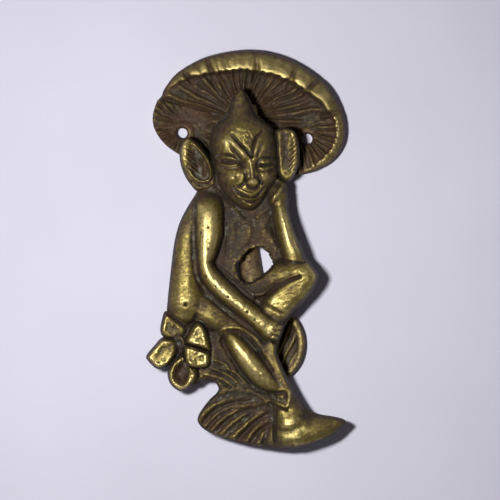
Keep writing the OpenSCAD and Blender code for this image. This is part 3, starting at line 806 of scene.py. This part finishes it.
def brow_and_eyes(made):
    """Two bright wedges of frown over the nose, arched lids, and narrow laughing eyes."""
    made.bump(-5.6, -2.8, 3.2, 2.6, -30, 1.0).bump(6.4, -2.4, 2.6, 3.0, 10, 0.7).bump(-0.8, 2.0, 5.0, 2.4,
                                                                                      0, 0.5)
    made.ridge([(-3.7, -2.4, 0.4), (-2.2, -3.9, 0.9), (-0.8, -5.2, 1.1), (0.3, -6.4, 1.0)], 0.9, 0.9)
    made.bump(-0.3, -5.9, 1.5, 2.1, 40, 0.7)
    made.ridge([(4.3, -1.6, 0.3), (3.6, -3.7, 0.9), (3.1, -5.7, 1.0)], 0.6, 1.1)
    made.ridge([(-3.6, -0.6, 0.5), (-1.1, -3.1, 1), (0.8, -4.9, 1), (2.2, -6.6, 1)], 0.42, -1.2)
    made.ridge([(4.9, 1.0, 0.5), (3.4, -0.9, 1), (2.6, -3.1, 1), (2.3, -6.4, 1)], 0.36, -1.0)
    made.ridge([(-4.3, -3.2, 0.5), (-2.7, -5.3, 1), (-1.0, -7.3, 1)], 0.5, -0.8)
    made.ridge([(5.3, -2.8, 0.3), (4.6, -4.6, 0.7), (3.9, -6.0, 0.8)], 0.5, -0.4)

    made.bump(-4.2, -8.2, 4.4, 1.5, -4, -0.9)
    made.bump(-0.2, -9.0, 1.5, 1.6, 0, -1.1).bump(4.4, -8.8, 1.3, 1.8, 0, -0.9)
    made.bump(-4.0, -7.2, 2.2, 0.6, -4, 0.6)
    made.ridge([(-8.9, -7.2), (-7.4, -6.5), (-6.1, -6.1), (-3.1, -6.5), (-1.3, -7.8), (-0.1, -9.3)], 0.32,
               -0.7)
    made.ridge([(-6.4, -7.9), (-3.9, -8.1), (-1.9, -8.2)], 0.3, -0.7)
    made.ridge([(-6.4, -8.9), (-4.2, -9.2), (-1.9, -8.9)], 0.4, 0.5)
    made.ridge([(-6.6, -9.6), (-4.3, -10.1), (-1.7, -9.9)], 0.4, -0.35)

    made.bump(6.6, -8.2, 3.4, 2.1, 4, -0.9)
    made.ridge([(3.9, -9.3), (4.2, -7.7), (5.5, -6.6), (7.7, -6.3), (9.8, -6.2)], 0.32, -0.5)
    made.bump(6.5, -7.9, 1.7, 0.8, 6, 0.9)
    made.ridge([(5.0, -8.5), (6.6, -8.4), (8.4, -8.1)], 0.28, -0.7)
    made.ridge([(4.6, -9.4), (6.3, -9.5), (8.4, -8.9)], 0.36, 0.5)
    made.ridge([(4.0, -9.6), (4.5, -11.0), (5.2, -12.4)], 0.36, -0.45)
    made.ridge([(4.6, -10.2), (6.3, -10.4), (8.6, -9.7)], 0.32, -0.35)
    return made


def nose_and_mouth(made):
    """A thin bridge with a round tip, full cheeks, and a lopsided grin over a small chin."""
    made.bump(-3.8, -12.4, 3.4, 2.9, 10, 1.3).bump(-2.9, -12.8, 1.3, 1.3, 10, 0.8).bump(6.6, -11.8, 2.5,
                                                                                        2.2, -10, 1.3)
    made.ridge([(2.1, -8.3, 0.4), (2.5, -10.4, 0.8), (2.7, -12.1, 1.0), (2.8, -12.8, 1.0)], 0.5, 1.2)
    made.ridge([(1.0, -13.2), (1.9, -14.9), (3.1, -15.4), (4.3, -14.8), (4.9, -13.2)], 0.4, -0.8)
    made.dome(2.9, -13.5, 1.6, 1.5, 0, 19.7, 16.6, blend=0.5)
    made.bump(1.6, -13.9, 0.45, 0.5, 0, 0.5).bump(4.3, -13.8, 0.45, 0.5, 0, 0.5)
    made.ridge([(0.4, -10.4, 0.4), (0.9, -12.0, 1), (0.6, -13.8, 1), (-0.6, -14.8, 1), (-2.4, -15.2, 0.6)],
               0.4, -0.7)
    made.ridge([(4.4, -11.8), (5.0, -13.2), (5.8, -13.9)], 0.4, -0.55)

    made.ridge([(-2.0, -15.2, 0.5), (0.3, -16.3, 1), (1.8, -16.9, 1), (3.2, -16.9, 1), (4.8, -15.7, 0.9),
                (6.2, -14.2, 0.4)],
               0.42, 0.55)
    made.ridge([(-2.4, -15.6, 0.4), (-0.9, -16.9, 0.9), (0.9, -17.7, 1.2), (2.6, -18.0, 1.2),
                (4.2, -17.5, 1.1),
                (5.4, -16.0, 0.9), (6.5, -14.4, 0.4)], 0.34, -1.0)
    made.bump(2.6, -18.1, 1.6, 0.6, 0, 1.1)
    made.ridge([(0.2, -18.5, 0.4), (1.5, -19.0, 1), (2.7, -19.15, 1), (4.0, -18.8, 1), (5.0, -18.0, 0.4)],
               0.34, -0.8)
    made.bump(2.9, -20.2, 1.7, 0.8, 4, 1.0)
    made.bump(-0.9, -17.9, 1.1, 0.7, -35, 0.4).bump(5.6, -17.3, 0.9, 0.7, 40, 0.4)
    made.ridge([(-3.6, -14.9, 0.4), (-3.0, -16.4, 0.8), (-1.6, -18.0, 0.8), (0.2, -19.4, 0.5)], 0.45, -0.35)
    made.ridge([(7.3, -14.4, 0.4), (7.0, -16.0, 0.8), (5.8, -18.0, 0.6)], 0.4, -0.35)
    return made


def ears(made):
    """Two leaf-shaped cups: the left one fluted outside with a hooked crest, the right one toothed."""
    x, y = made.x, made.y
    for outline, rim_z in ((EAR_LEFT, 12.2), (EAR_RIGHT, 12.6)):
        m = made.near(outline, 0.5)
        s = -outline_distance(x[m], y[m], spline(outline, closed=True, steps=5))
        rim = 8.8 + (rim_z - 8.8) * np.sqrt(np.clip(1 - np.clip(1.4 - s, 0, 1.4) ** 2 / 1.96, 0, 1))
        made.z[m] = np.where(s > 0, smooth_max(made.z[m], rim, 0.3), made.z[m])
    made.bump(-16.4, -5.2, 1.9, 3.6, 10, 1.1)
    made.ridge([(-14.6, -4.6, 0.4), (-13.4, -7.6, 1), (-12.4, -10.2, 1.1), (-12.2, -12.0, 0.8)], 1.6, -1.7)
    for k in range(5):
        made.ridge([(-17.4 + 0.3 * k, -4.6 - 1.3 * k, 0.4), (-15.8 + 0.4 * k, -5.0 - 1.5 * k, 1),
                    (-13.8 + 0.4 * k, -6.4 - 1.5 * k, 0.4)], 0.26, -0.42)
    made.ridge([(-14.4, -3.4, 0.5), (-12.2, -5.5, 1), (-10.4, -7.6, 1), (-9.3, -10.1, 1), (-9.1, -12.2, 1),
                (-9.8, -13.5, 1),
                (-11.8, -13.8, 1), (-14.0, -12.6, 0.8), (-15.4, -10.8, 0.3)], 0.4, 1.1)
    made.ridge([(-14.4, -14.0), (-12.0, -15.2), (-9.4, -14.8)], 0.5, -0.5)

    made.ridge([(11.0, 1.2, 0.6), (11.6, -2.0, 1), (11.9, -6.0, 1), (12.0, -10.0, 0.6)], 1.3, -0.6)
    made.ridge([(13.5, 1.0), (14.3, -2.2), (14.5, -6.0), (13.9, -9.8)], 0.8, 0.8)
    for k in range(8):
        made.ridge([(15.2, 0.6 - 1.35 * k, 0.3), (14.2, -0.1 - 1.35 * k, 1), (13.0, -1.3 - 1.35 * k, 0.5)],
                   0.24, -0.5)
    made.bump(10.6, -0.4, 0.4, 0.4, 0, 0.8)
    return made


def head_top(x, y):
    """Each row across the head is an arch, (1 - |q|^2.2)^0.6, between its edges; then ears and face."""
    left, right, height = head_edges(y)
    middle, half = (left + right) / 2, np.maximum((right - left) / 2, 0.05)
    q = abs(x - middle) / half
    arch = np.clip(1 - q**2.2, 0, None) ** 0.6
    chin = np.sqrt(np.clip(1 - (np.clip(-17.8 - y, 0, 4.0) / 4.0) ** 2, 0, 1))
    inside = q < 1
    z = np.where(inside, BACK_Z + 1.4 + (height - 1.4) * arch * (0.3 + 0.7 * chin), 8.2)
    made = ears(Relief(x, y, np.full(x.shape, 8.2)))
    made.z = np.where(inside, smooth_max(made.z, z, 0.1), made.z)
    nose_and_mouth(brow_and_eyes(made))
    curls = smooth_step(1.5 - np.hypot((x - 1.4) / 2.4, (y + 1.8) / 2.4))
    made.z += curls * 0.10 * wander(x, y, 1.0, 72)
    made.z += 0.08 * wander(x, y, 2.0, 73)
    edge = np.clip(-head_distance(x, y), 0, 0.8) / 0.8
    made.z -= 0.5 * (1 - np.sqrt(np.clip(1 - (1 - edge) ** 2, 0, 1)))
    over_hinge = (y > AXIS_Y - 3.4) & (abs(x - AXIS_X) < 7)
    return np.where(over_hinge, np.maximum(made.z, AXIS_Z + 3.7), made.z)


def head_bottom(x, y, front):
    """Level edge and hollow middle, raised over the hinge lugs so that they swing clear."""
    level = hollow_back(head_distance, 2.4)(x, y, front)
    lug_room = AXIS_Z + np.sqrt(np.clip(3.0**2 - (y - AXIS_Y) ** 2, 0, None))
    lug_room = np.where(y > AXIS_Y, AXIS_Z + 3.0, lug_room)
    over = (y > AXIS_Y - 3.0) & (abs(x - AXIS_X) < 9)
    return np.where(over, np.maximum(level, lug_room), level)


def head_polish_and_highlights(x, y, z):
    """Dull over the hair and the sides; rubbed on brow, cheeks, nose, lips, chin and ear rims. Painted
    highlights lie on the forehead and the left temple, and over the rubbing on the brow's end, the nose tip
    and the left ear's lobe.
    """
    front = smooth_step((z - 15.0) / 4.4)
    crown = smooth_step((y - 3) / 5)
    # Painted highlights: a band across the forehead and a patch on the left temple.
    glow = np.exp(-(np.hypot((x + 1.2) / 5.0, (y - 1.4) / 1.8) ** 2))
    temple = np.exp(-(np.hypot((x + 5.2) / 2.6, (y + 2.6) / 1.8) ** 2))
    frown = np.exp(-(np.hypot((x - 1.5) / 1.6, (y + 2.2) / 2.2) ** 2))
    jaw = smooth_step((-15.2 - y) / 3)
    ear = (x < -9.0) | (x > 9.8)
    # Rubbing and a painted highlight on the left ear's lobe.
    lobe = np.exp(-(np.hypot((x + 16.6) / 1.7, (y + 5.2) / 3.2) ** 2))
    toothed = np.exp(-(((x - 14.2) / 1.0) ** 2))
    # Rubbing and painted highlights on the brow's end and the nose tip.
    spots = np.exp(-(np.hypot((x + 0.2) / 1.3, (y + 6.0) / 1.5) ** 2)) + np.exp(-(np.hypot(x - 2.9,
                                                                                           y + 13.4) ** 2))
    ear_rub_and_highlight = 0.16 + 0.12 * smooth_step((z - 11.6) / 1.6) + 0.45 * lobe + 0.24 * toothed * (x > 0)
    face = 0.16 + 0.28 * front * (1 - 0.3 * crown) + 0.05 * glow + 0.14 * temple - 0.2 * frown - 0.08 * jaw
    face += 0.2 * spots
    return np.where(ear, ear_rub_and_highlight, face)


# ---------------------------------------------------------------- finishes


def linear(hex_colour):
    """An sRGB hex colour as linear RGBA."""
    c = np.array([int(hex_colour[i : i + 2], 16) / 255 for i in (1, 3, 5)])
    c = np.where(c <= 0.04045, c / 12.92, ((c + 0.055) / 1.055) ** 2.4)
    return (*c.tolist(), 1.0)


def add_node(tree, kind, settings=(), inputs=(), ramp=()):
    """One node with its properties, its inputs (values or sockets to link) and, on a ramp, its stops."""
    made = tree.nodes.new(kind)
    for key, value in dict(settings).items():
        setattr(made, key, value)
    for key, value in dict(inputs).items():
        if isinstance(value, bpy.types.NodeSocket):
            tree.links.new(value, made.inputs[key])
        else:
            made.inputs[key].default_value = value
    if ramp:
        stops = made.color_ramp.elements
        while len(stops) < len(ramp):
            stops.new(0.5)
        for stop, (at, colour) in zip(stops, ramp):
            stop.position, stop.color = at, colour
    return made


def empty_material(name):
    """A new material and its node tree, with no nodes in it."""
    material = bpy.data.materials.new(name)
    material.use_nodes = True
    material.node_tree.nodes.clear()
    return material, material.node_tree


def grey(value):
    return (value, value, value, 1.0)


def aged_brass(name, tones, redness=0.0, crust=0.5):
    """Cast brass that hands have rubbed: gold on the crests, olive on the slopes, where shade is partly
    painted, brown in the hollows.

    tones run from hollow to crest. The mesh's value of rubbing and painted light says how bright each spot
    is: how far hands have kept it bright, with painted shade on steep sides and painted highlights on parts
    of the face; its fine relief says which narrow creases hold the pale green crust. Sizes in the patterns
    are 1 / Scale metres.
    """
    material, tree = empty_material(name)
    where = add_node(tree, "ShaderNodeTexCoord").outputs["Object"]
    rub_and_painted_light = add_node(tree, "ShaderNodeAttribute", {"attribute_name": "rub_and_painted_light"}).outputs["Fac"]
    fine = add_node(tree, "ShaderNodeAttribute", {"attribute_name": "fine"}).outputs["Fac"]

    def noise(scale, detail=4.0, rough=0.6):
        return add_node(
            tree, "ShaderNodeTexNoise",
            inputs={"Vector": where, "Scale": scale, "Detail": detail, "Roughness": rough}).outputs["Fac"]

    def math_node(operation, a, b=0.0, c=0.0):
        return add_node(tree, "ShaderNodeMath", {"operation": operation}, {0: a, 1: b, 2: c}).outputs[0]

    def ramp(value, *stops):
        stops = [(at, colour if isinstance(colour, tuple) else grey(colour)) for at, colour in stops]
        return add_node(tree, "ShaderNodeValToRGB", inputs={"Fac": value}, ramp=stops).outputs["Color"]

    def mixed(amount, a, b):
        return add_node(tree, "ShaderNodeMix", {"data_type": "RGBA"}, {0: amount, 6: a, 7: b}).outputs[2]

    cloud, mottle, speck, grain = noise(170), noise(700, 5, 0.65), noise(2100, 4, 0.6), noise(4200, 2)
    wear = math_node("MULTIPLY_ADD", cloud, 0.44, math_node("ADD", rub_and_painted_light, -0.23))
    wear = math_node("MULTIPLY_ADD", mottle, 0.6, math_node("ADD", wear, -0.30))
    spots = ramp(speck, (0.36, 1.0), (0.45, 0.0))
    wear = math_node("MULTIPLY_ADD", spots, -0.22, wear)

    tone = ramp(wear, *zip((0.04, 0.2, 0.42, 0.68), (linear(t) for t in tones)))
    low = ramp(wear, (0.15, 1.0), (0.42, 0.0))
    red_cloud = ramp(noise(120, 3), (0.42, 0.0), (0.64, redness))
    tone = mixed(math_node("MULTIPLY", red_cloud, low), tone, linear("#5c3620"))
    crease = ramp(math_node("MULTIPLY", fine, -1.0), (0.03, 0.0), (0.12, 1.0), (0.24, 1.0), (0.38, 0.0))
    dust = math_node("MULTIPLY", crease, ramp(noise(380, 5, 0.7), (0.5, 0.0), (0.64, crust)))
    tone = mixed(dust, tone, linear("#7f7d6c"))

    metal = math_node("MULTIPLY", ramp(wear, (0.06, 0.3), (0.4, 1.0)), math_node("SUBTRACT", 1.0, dust))
    rough = ramp(wear, (0.05, 0.68), (0.35, 0.5), (0.7, 0.4))
    rough = math_node("MULTIPLY_ADD", speck, 0.22, math_node("ADD", rough, -0.11))

    relief = math_node("MULTIPLY_ADD", mottle, 1.0, math_node("MULTIPLY", grain, 0.35))
    relief = math_node("MULTIPLY_ADD", speck, 0.5, relief)
    relief = math_node("MULTIPLY_ADD", spots, -0.35, relief)
    bump = add_node(tree, "ShaderNodeBump", inputs={"Strength": 0.5, "Distance": 0.0002, "Height": relief})
    shader = add_node(
        tree, "ShaderNodeBsdfPrincipled",
        inputs={"Base Color": tone, "Metallic": metal, "Roughness": rough,
                "Normal": bump.outputs["Normal"]})
    add_node(tree, "ShaderNodeOutputMaterial", inputs={"Surface": shader.outputs[0]})
    return material


def glowing_wall(name, strength):
    """A studio wall far off, evenly lit, so that it only glows softly."""
    material, tree = empty_material(name)
    glow = add_node(
        tree, "ShaderNodeEmission", inputs={"Color": linear("#e8e6ee"), "Strength": strength})
    add_node(tree, "ShaderNodeOutputMaterial", inputs={"Surface": glow.outputs[0]})
    return material


def matt_paper(name, tone, wall):
    """Matt drawing paper with a faint tooth and slight clouds. Painted light: further out the paper itself
    glows, more with the distance from the object, standing in for studio light spilling onto it."""
    material, tree = empty_material(name)
    where = add_node(tree, "ShaderNodeTexCoord").outputs["Object"]
    cloud = add_node(tree, "ShaderNodeTexNoise", inputs={"Vector": where, "Scale": 22, "Detail": 3})
    light = (*tone, 1.0)
    soft = (*(0.95 * c for c in tone), 1.0)
    shade = add_node(
        tree, "ShaderNodeValToRGB", inputs={"Fac": cloud.outputs["Fac"]}, ramp=[(0.3, soft), (0.7, light)])
    tooth = add_node(tree, "ShaderNodeTexNoise", inputs={"Vector": where, "Scale": 2600, "Detail": 2})
    bump = add_node(tree, "ShaderNodeBump",
                    inputs={"Strength": 0.15, "Distance": 0.0001, "Height": tooth.outputs["Fac"]})
    # Painted light: the paper's own glow grows with its distance from the object.
    far = add_node(tree, "ShaderNodeVectorMath", settings=[("operation", "LENGTH")], inputs={0: where})
    painted_spill_glow = add_node(
        tree, "ShaderNodeMapRange", settings=[("interpolation_type", "SMOOTHSTEP")],
        inputs={"Value": far.outputs["Value"], "From Min": 0.10, "From Max": 0.46, "To Min": 0.0,
                "To Max": wall})
    shader = add_node(
        tree, "ShaderNodeBsdfPrincipled",
        inputs={"Base Color": shade.outputs["Color"], "Roughness": 0.85, "Normal": bump.outputs["Normal"],
                "Emission Color": linear("#e8e6ee"), "Emission Strength": painted_spill_glow.outputs["Result"]})
    add_node(tree, "ShaderNodeOutputMaterial", inputs={"Surface": shader.outputs[0]})
    return material


# ---------------------------------------------------------------- settings


class KnockerShape(bpy.types.PropertyGroup):
    backplate_pitch: bpy.props.FloatProperty(
        name="Backplate pitch", description="Grid spacing of the mushroom's relief", default=0.24 * MM,
        unit="LENGTH")
    body_pitch: bpy.props.FloatProperty(
        name="Body pitch", description="Grid spacing of the figure's relief", default=0.229 * MM,
        unit="LENGTH")
    head_pitch: bpy.props.FloatProperty(
        name="Head pitch", description="Grid spacing of the head's relief", default=0.13 * MM,
        unit="LENGTH")
    wall: bpy.props.FloatProperty(
        name="Wall", description="Thickness of the figure's hollow casting", default=2.4 * MM,
        unit="LENGTH")
    pin_radius: bpy.props.FloatProperty(
        name="Pin radius", description="Radius of the hinge pin", default=1.1 * MM, unit="LENGTH")
    pin_clearance: bpy.props.FloatProperty(
        name="Pin clearance", description="Gap round the pin in the knuckle", default=0.05 * MM,
        unit="LENGTH")


def colour_property(name, description, hex_colour):
    return bpy.props.FloatVectorProperty(
        name=name, description=description, subtype="COLOR", size=3, min=0, max=1,
        default=linear(hex_colour)[:3])


class KnockerFinish(bpy.types.PropertyGroup):
    paper: colour_property("Paper", "Colour of the paper below", "#dcdae8")
    key_power: bpy.props.FloatProperty(
        name="Key light", description="Power of the lamp above and to the left", default=0.76, unit="POWER")
    fill: bpy.props.FloatProperty(
        name="Fill", description="Strength of the light from all round", default=0.035)
    wall: bpy.props.FloatProperty(
        name="Wall", description="Brightness of the studio wall far off", default=0.62)


def shape():
    return bpy.context.scene.knocker_shape


def finish():
    return bpy.context.scene.knocker_finish


def mm(value):
    return value / MM


def give(piece, material, body, nodes):
    """Gives a finished piece its material and its body, and hides the CAD nodes it stands for."""
    piece.data.materials.append(bpy.data.materials[material])
    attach(piece, body)
    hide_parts(*nodes)


# ---------------------------------------------------------------- operators


class KNOCKER_OT_finishes(bpy.types.Operator):
    """Makes the aged brass finishes"""

    bl_idname = "knocker.finishes"
    bl_label = "Brass finishes"

    def execute(self, context):
        aged_brass("cast_brass_rubbed_bright", ("#32281b", "#5c4d31", "#93844a", "#d6c282"), redness=0.25,
                   crust=0.75)
        aged_brass("cast_brass_brown_patina", ("#3b2f20", "#6a593d", "#948555", "#cfbb7a"), redness=0.42,
                   crust=0.25)
        aged_brass("drawn_brass_dulled", ("#33291a", "#655534", "#a08f55", "#cdb978"))
        return {"FINISHED"}


class KNOCKER_OT_backplate(bpy.types.Operator):
    """Makes the mushroom: cap with rolled rim and gills, stem and round foot"""

    bl_idname = "knocker.backplate"
    bl_label = "Mushroom backplate"

    def execute(self, context):
        pitch = mm(shape().backplate_pitch)
        box = (-27.5, -72.5, 29.5, 25.5)
        piece = relief_object(
            "mushroom_backplate", backplate_distance, backplate_top, lambda x, y, front: np.zeros(x.shape),
            backplate_polish, box, pitch, crest_rub=0.45)
        give(piece, "cast_brass_brown_patina", "backplate", ["backplate"])
        return {"FINISHED"}


class KNOCKER_OT_lugs(bpy.types.Operator):
    """Makes the two hinge lugs that stand up from the cap behind the head"""

    bl_idname = "knocker.lugs"
    bl_label = "Hinge lugs"

    def execute(self, context):
        def reach(angle):
            foot = ray_to_box(angle, (-LUG_R, -5.4), (LUG_R, 0.01)) * (np.sin(angle) < 0)
            return np.maximum(LUG_R, foot)

        for k, side in enumerate((-1, 1)):
            inner = AXIS_X + side * (KNUCKLE_HALF + SIDE_GAP)
            outer = AXIS_X + side * (KNUCKLE_HALF + SIDE_GAP + LUG_THICKNESS)
            piece = bearing_plate(
                f"hinge_lug_{k + 1}", min(inner, outer), max(inner, outer), mm(shape().pin_radius) - 0.02,
                reach)
            give(piece, "cast_brass_brown_patina", "backplate", ["backplate"])
        return {"FINISHED"}


class KNOCKER_OT_figure(bpy.types.Operator):
    """Makes the figure below the head, with its flower, leaf and boot"""

    bl_idname = "knocker.figure"
    bl_label = "Figure"

    def execute(self, context):
        pitch = mm(shape().body_pitch)
        piece = relief_object(
            "pixie_body", body_distance, body_top, hollow_back(body_distance, mm(shape().wall)),
            body_polish, (-26, -90, 33.5, -9.5), pitch)
        give(piece, "cast_brass_rubbed_bright", "knocker", ["knocker"])
        return {"FINISHED"}


class KNOCKER_OT_head(bpy.types.Operator):
    """Makes the head with its topknot and ears"""

    bl_idname = "knocker.head"
    bl_label = "Head and ears"

    def execute(self, context):
        pitch = mm(shape().head_pitch)
        piece = relief_object(
            "pixie_head", head_distance, head_top, head_bottom, head_polish_and_highlights, (-19.5, -22.8, 17, 13.2),
            pitch)
        give(piece, "cast_brass_rubbed_bright", "knocker", ["knocker"])
        return {"FINISHED"}


class KNOCKER_OT_hinge(bpy.types.Operator):
    """Makes the knuckle on the figure's back, the striker nub and the peened pin"""

    bl_idname = "knocker.hinge"
    bl_label = "Knuckle, striker and pin"

    def execute(self, context):
        def reach(angle):
            web = ray_to_box(angle, (-6.0, -0.01), (0.01, 6.4)) * (np.sin(angle) > 0) * (np.cos(angle) < 0)
            return np.maximum(LUG_R, web)

        bore = mm(shape().pin_radius) + mm(shape().pin_clearance)
        knuckle = bearing_plate("pixie_knuckle", AXIS_X - KNUCKLE_HALF, AXIS_X + KNUCKLE_HALF, bore, reach)
        give(knuckle, "cast_brass_rubbed_bright", "knocker", ["knocker"])

        angle = np.arange(40) / 40 * 2 * math.pi
        profile = [(0.01, 3.3), (1.7, 3.35), (2.3, 3.7), (2.55, 4.4), (2.6, 6.0), (3.1, 8.6), (0.01, 8.8)]
        nub = turned(profile, angle, (FOOT_X - 1.5, FOOT_Y + 1.0))
        striker = surface_object("pixie_striker", nub, closed_v=False, caps=True)
        give(striker, "cast_brass_rubbed_bright", "knocker", ["knocker"])

        r = mm(shape().pin_radius)
        half = KNUCKLE_HALF + SIDE_GAP + LUG_THICKNESS
        rows = [(-half - 0.5, 0.02), (-half - 0.45, 0.9), (-half - 0.2, r + 0.4), (-half, r + 0.42),
                (-half, r)]
        rows += [(-x, radius) for x, radius in rows[::-1]]
        grid = np.empty((40, len(rows), 3))
        for k, (x, radius) in enumerate(rows):
            grid[:, k] = np.stack([
                np.full(40, AXIS_X + x), AXIS_Y + radius * np.cos(angle), AXIS_Z + radius * np.sin(angle)],
                1)
        pin = surface_object("peened_pin", grid, closed_v=False, caps=True)
        give(pin, "drawn_brass_dulled", "backplate", ["hinge_pin"])
        return {"FINISHED"}


def turned(profile, angle, centre):
    """A profile of (radius, z) carried round a vertical line."""
    p = np.asarray(profile, float)
    grid = np.empty((len(angle), len(p), 3))
    grid[..., 0] = centre[0] + np.cos(angle)[:, None] * p[:, 0]
    grid[..., 1] = centre[1] + np.sin(angle)[:, None] * p[:, 0]
    grid[..., 2] = p[:, 1]
    return grid


# The studio, in metres
WALL_RADIUS, WALL_HEIGHT, WALL_SIDES = 1.35, 0.45, 96
SPILL = 0.8  # painted glow of the far paper, as a share of the wall's glow


def add_to_stage(name, points, faces, material):
    """A surface round the object that isn't part of it."""
    mesh = bpy.data.meshes.new(name)
    mesh.from_pydata(points, [], faces)
    mesh.materials.append(material)
    made = bpy.data.objects.new(name, mesh)
    bpy.context.scene.collection.objects.link(made)


class KNOCKER_OT_stage(bpy.types.Operator):
    """Makes the paper, the glowing studio wall, the lamp and the camera straight above"""

    bl_idname = "knocker.stage"
    bl_label = "Stage"

    def execute(self, context):
        scene = context.scene
        middle = (0.00297, -0.03267, 0.008)
        half = 1.4
        corners = [(-half, -half, 0), (half, -half, 0), (half, half, 0), (-half, half, 0)]
        paper = matt_paper("matt_drawing_paper", finish().paper, SPILL * finish().wall)
        add_to_stage("paper", corners, [(0, 1, 2, 3)], paper)

        angle = np.linspace(0, 2 * math.pi, WALL_SIDES, endpoint=False)
        ring = np.stack([WALL_RADIUS * np.cos(angle), WALL_RADIUS * np.sin(angle), 0 * angle], 1)
        wall = np.concatenate([ring, ring + (0, 0, WALL_HEIGHT)])
        here, there = np.arange(WALL_SIDES), np.roll(np.arange(WALL_SIDES), -1)
        faces = np.stack([there, here, here + WALL_SIDES, there + WALL_SIDES], 1).tolist()
        glow = glowing_wall("softly_lit_wall", finish().wall)
        add_to_stage("studio_wall", wall.tolist(), faces, glow)

        key = bpy.data.lights.new("key", "AREA")
        key.shape, key.size, key.energy = "DISK", 0.030, finish().key_power
        lamp = bpy.data.objects.new("key", key)
        lamp.location = (-0.060, -0.030, 0.270)
        aim = np.array(middle) - np.array(lamp.location)
        lamp.rotation_mode = "QUATERNION"
        lamp.rotation_quaternion = Vector(aim).to_track_quat("-Z", "Y")
        scene.collection.objects.link(lamp)

        world = bpy.data.worlds.new("room")
        world.use_nodes = True
        world.node_tree.nodes["Background"].inputs["Color"].default_value = linear("#e6e4ec")
        world.node_tree.nodes["Background"].inputs["Strength"].default_value = finish().fill
        scene.world = world

        away = 0.700
        camera = bpy.data.cameras.new("camera")
        camera.sensor_width = 36
        camera.lens = 36 * away / 0.1425
        camera.clip_start, camera.clip_end = 0.01, 20
        camera_object = bpy.data.objects.new("camera", camera)
        camera_object.location = (middle[0], middle[1], middle[2] + away)
        camera_object.rotation_euler = (0, 0, math.radians(2.55))
        scene.collection.objects.link(camera_object)
        scene.camera = camera_object
        scene.view_settings.view_transform = "Standard"
        return {"FINISHED"}


class KNOCKER_PT_panel(bpy.types.Panel):
    bl_idname = "KNOCKER_PT_panel"
    bl_label = "Pixie door knocker"
    bl_space_type = "VIEW_3D"
    bl_region_type = "UI"
    bl_category = "Knocker"

    def draw(self, context):
        for group in (shape(), finish()):
            for key in group.__annotations__:
                self.layout.prop(group, key)
        for operator in STEPS:
            self.layout.operator(operator.bl_idname)


STEPS = (
    KNOCKER_OT_finishes,
    KNOCKER_OT_stage,
    KNOCKER_OT_backplate,
    KNOCKER_OT_lugs,
    KNOCKER_OT_figure,
    KNOCKER_OT_head,
    KNOCKER_OT_hinge,
)
CLASSES = (KnockerShape, KnockerFinish, *STEPS, KNOCKER_PT_panel)


def register():
    for cls in CLASSES:
        bpy.utils.register_class(cls)
    bpy.types.Scene.knocker_shape = bpy.props.PointerProperty(type=KnockerShape)
    bpy.types.Scene.knocker_finish = bpy.props.PointerProperty(type=KnockerFinish)


def unregister():
    del bpy.types.Scene.knocker_finish
    del bpy.types.Scene.knocker_shape
    for cls in reversed(CLASSES):
        bpy.utils.unregister_class(cls)


def main():
    register()
    for step in STEPS:
        group, name = step.bl_idname.split(".")
        getattr(getattr(bpy.ops, group), name)()


if __name__ == "__main__":
    main()
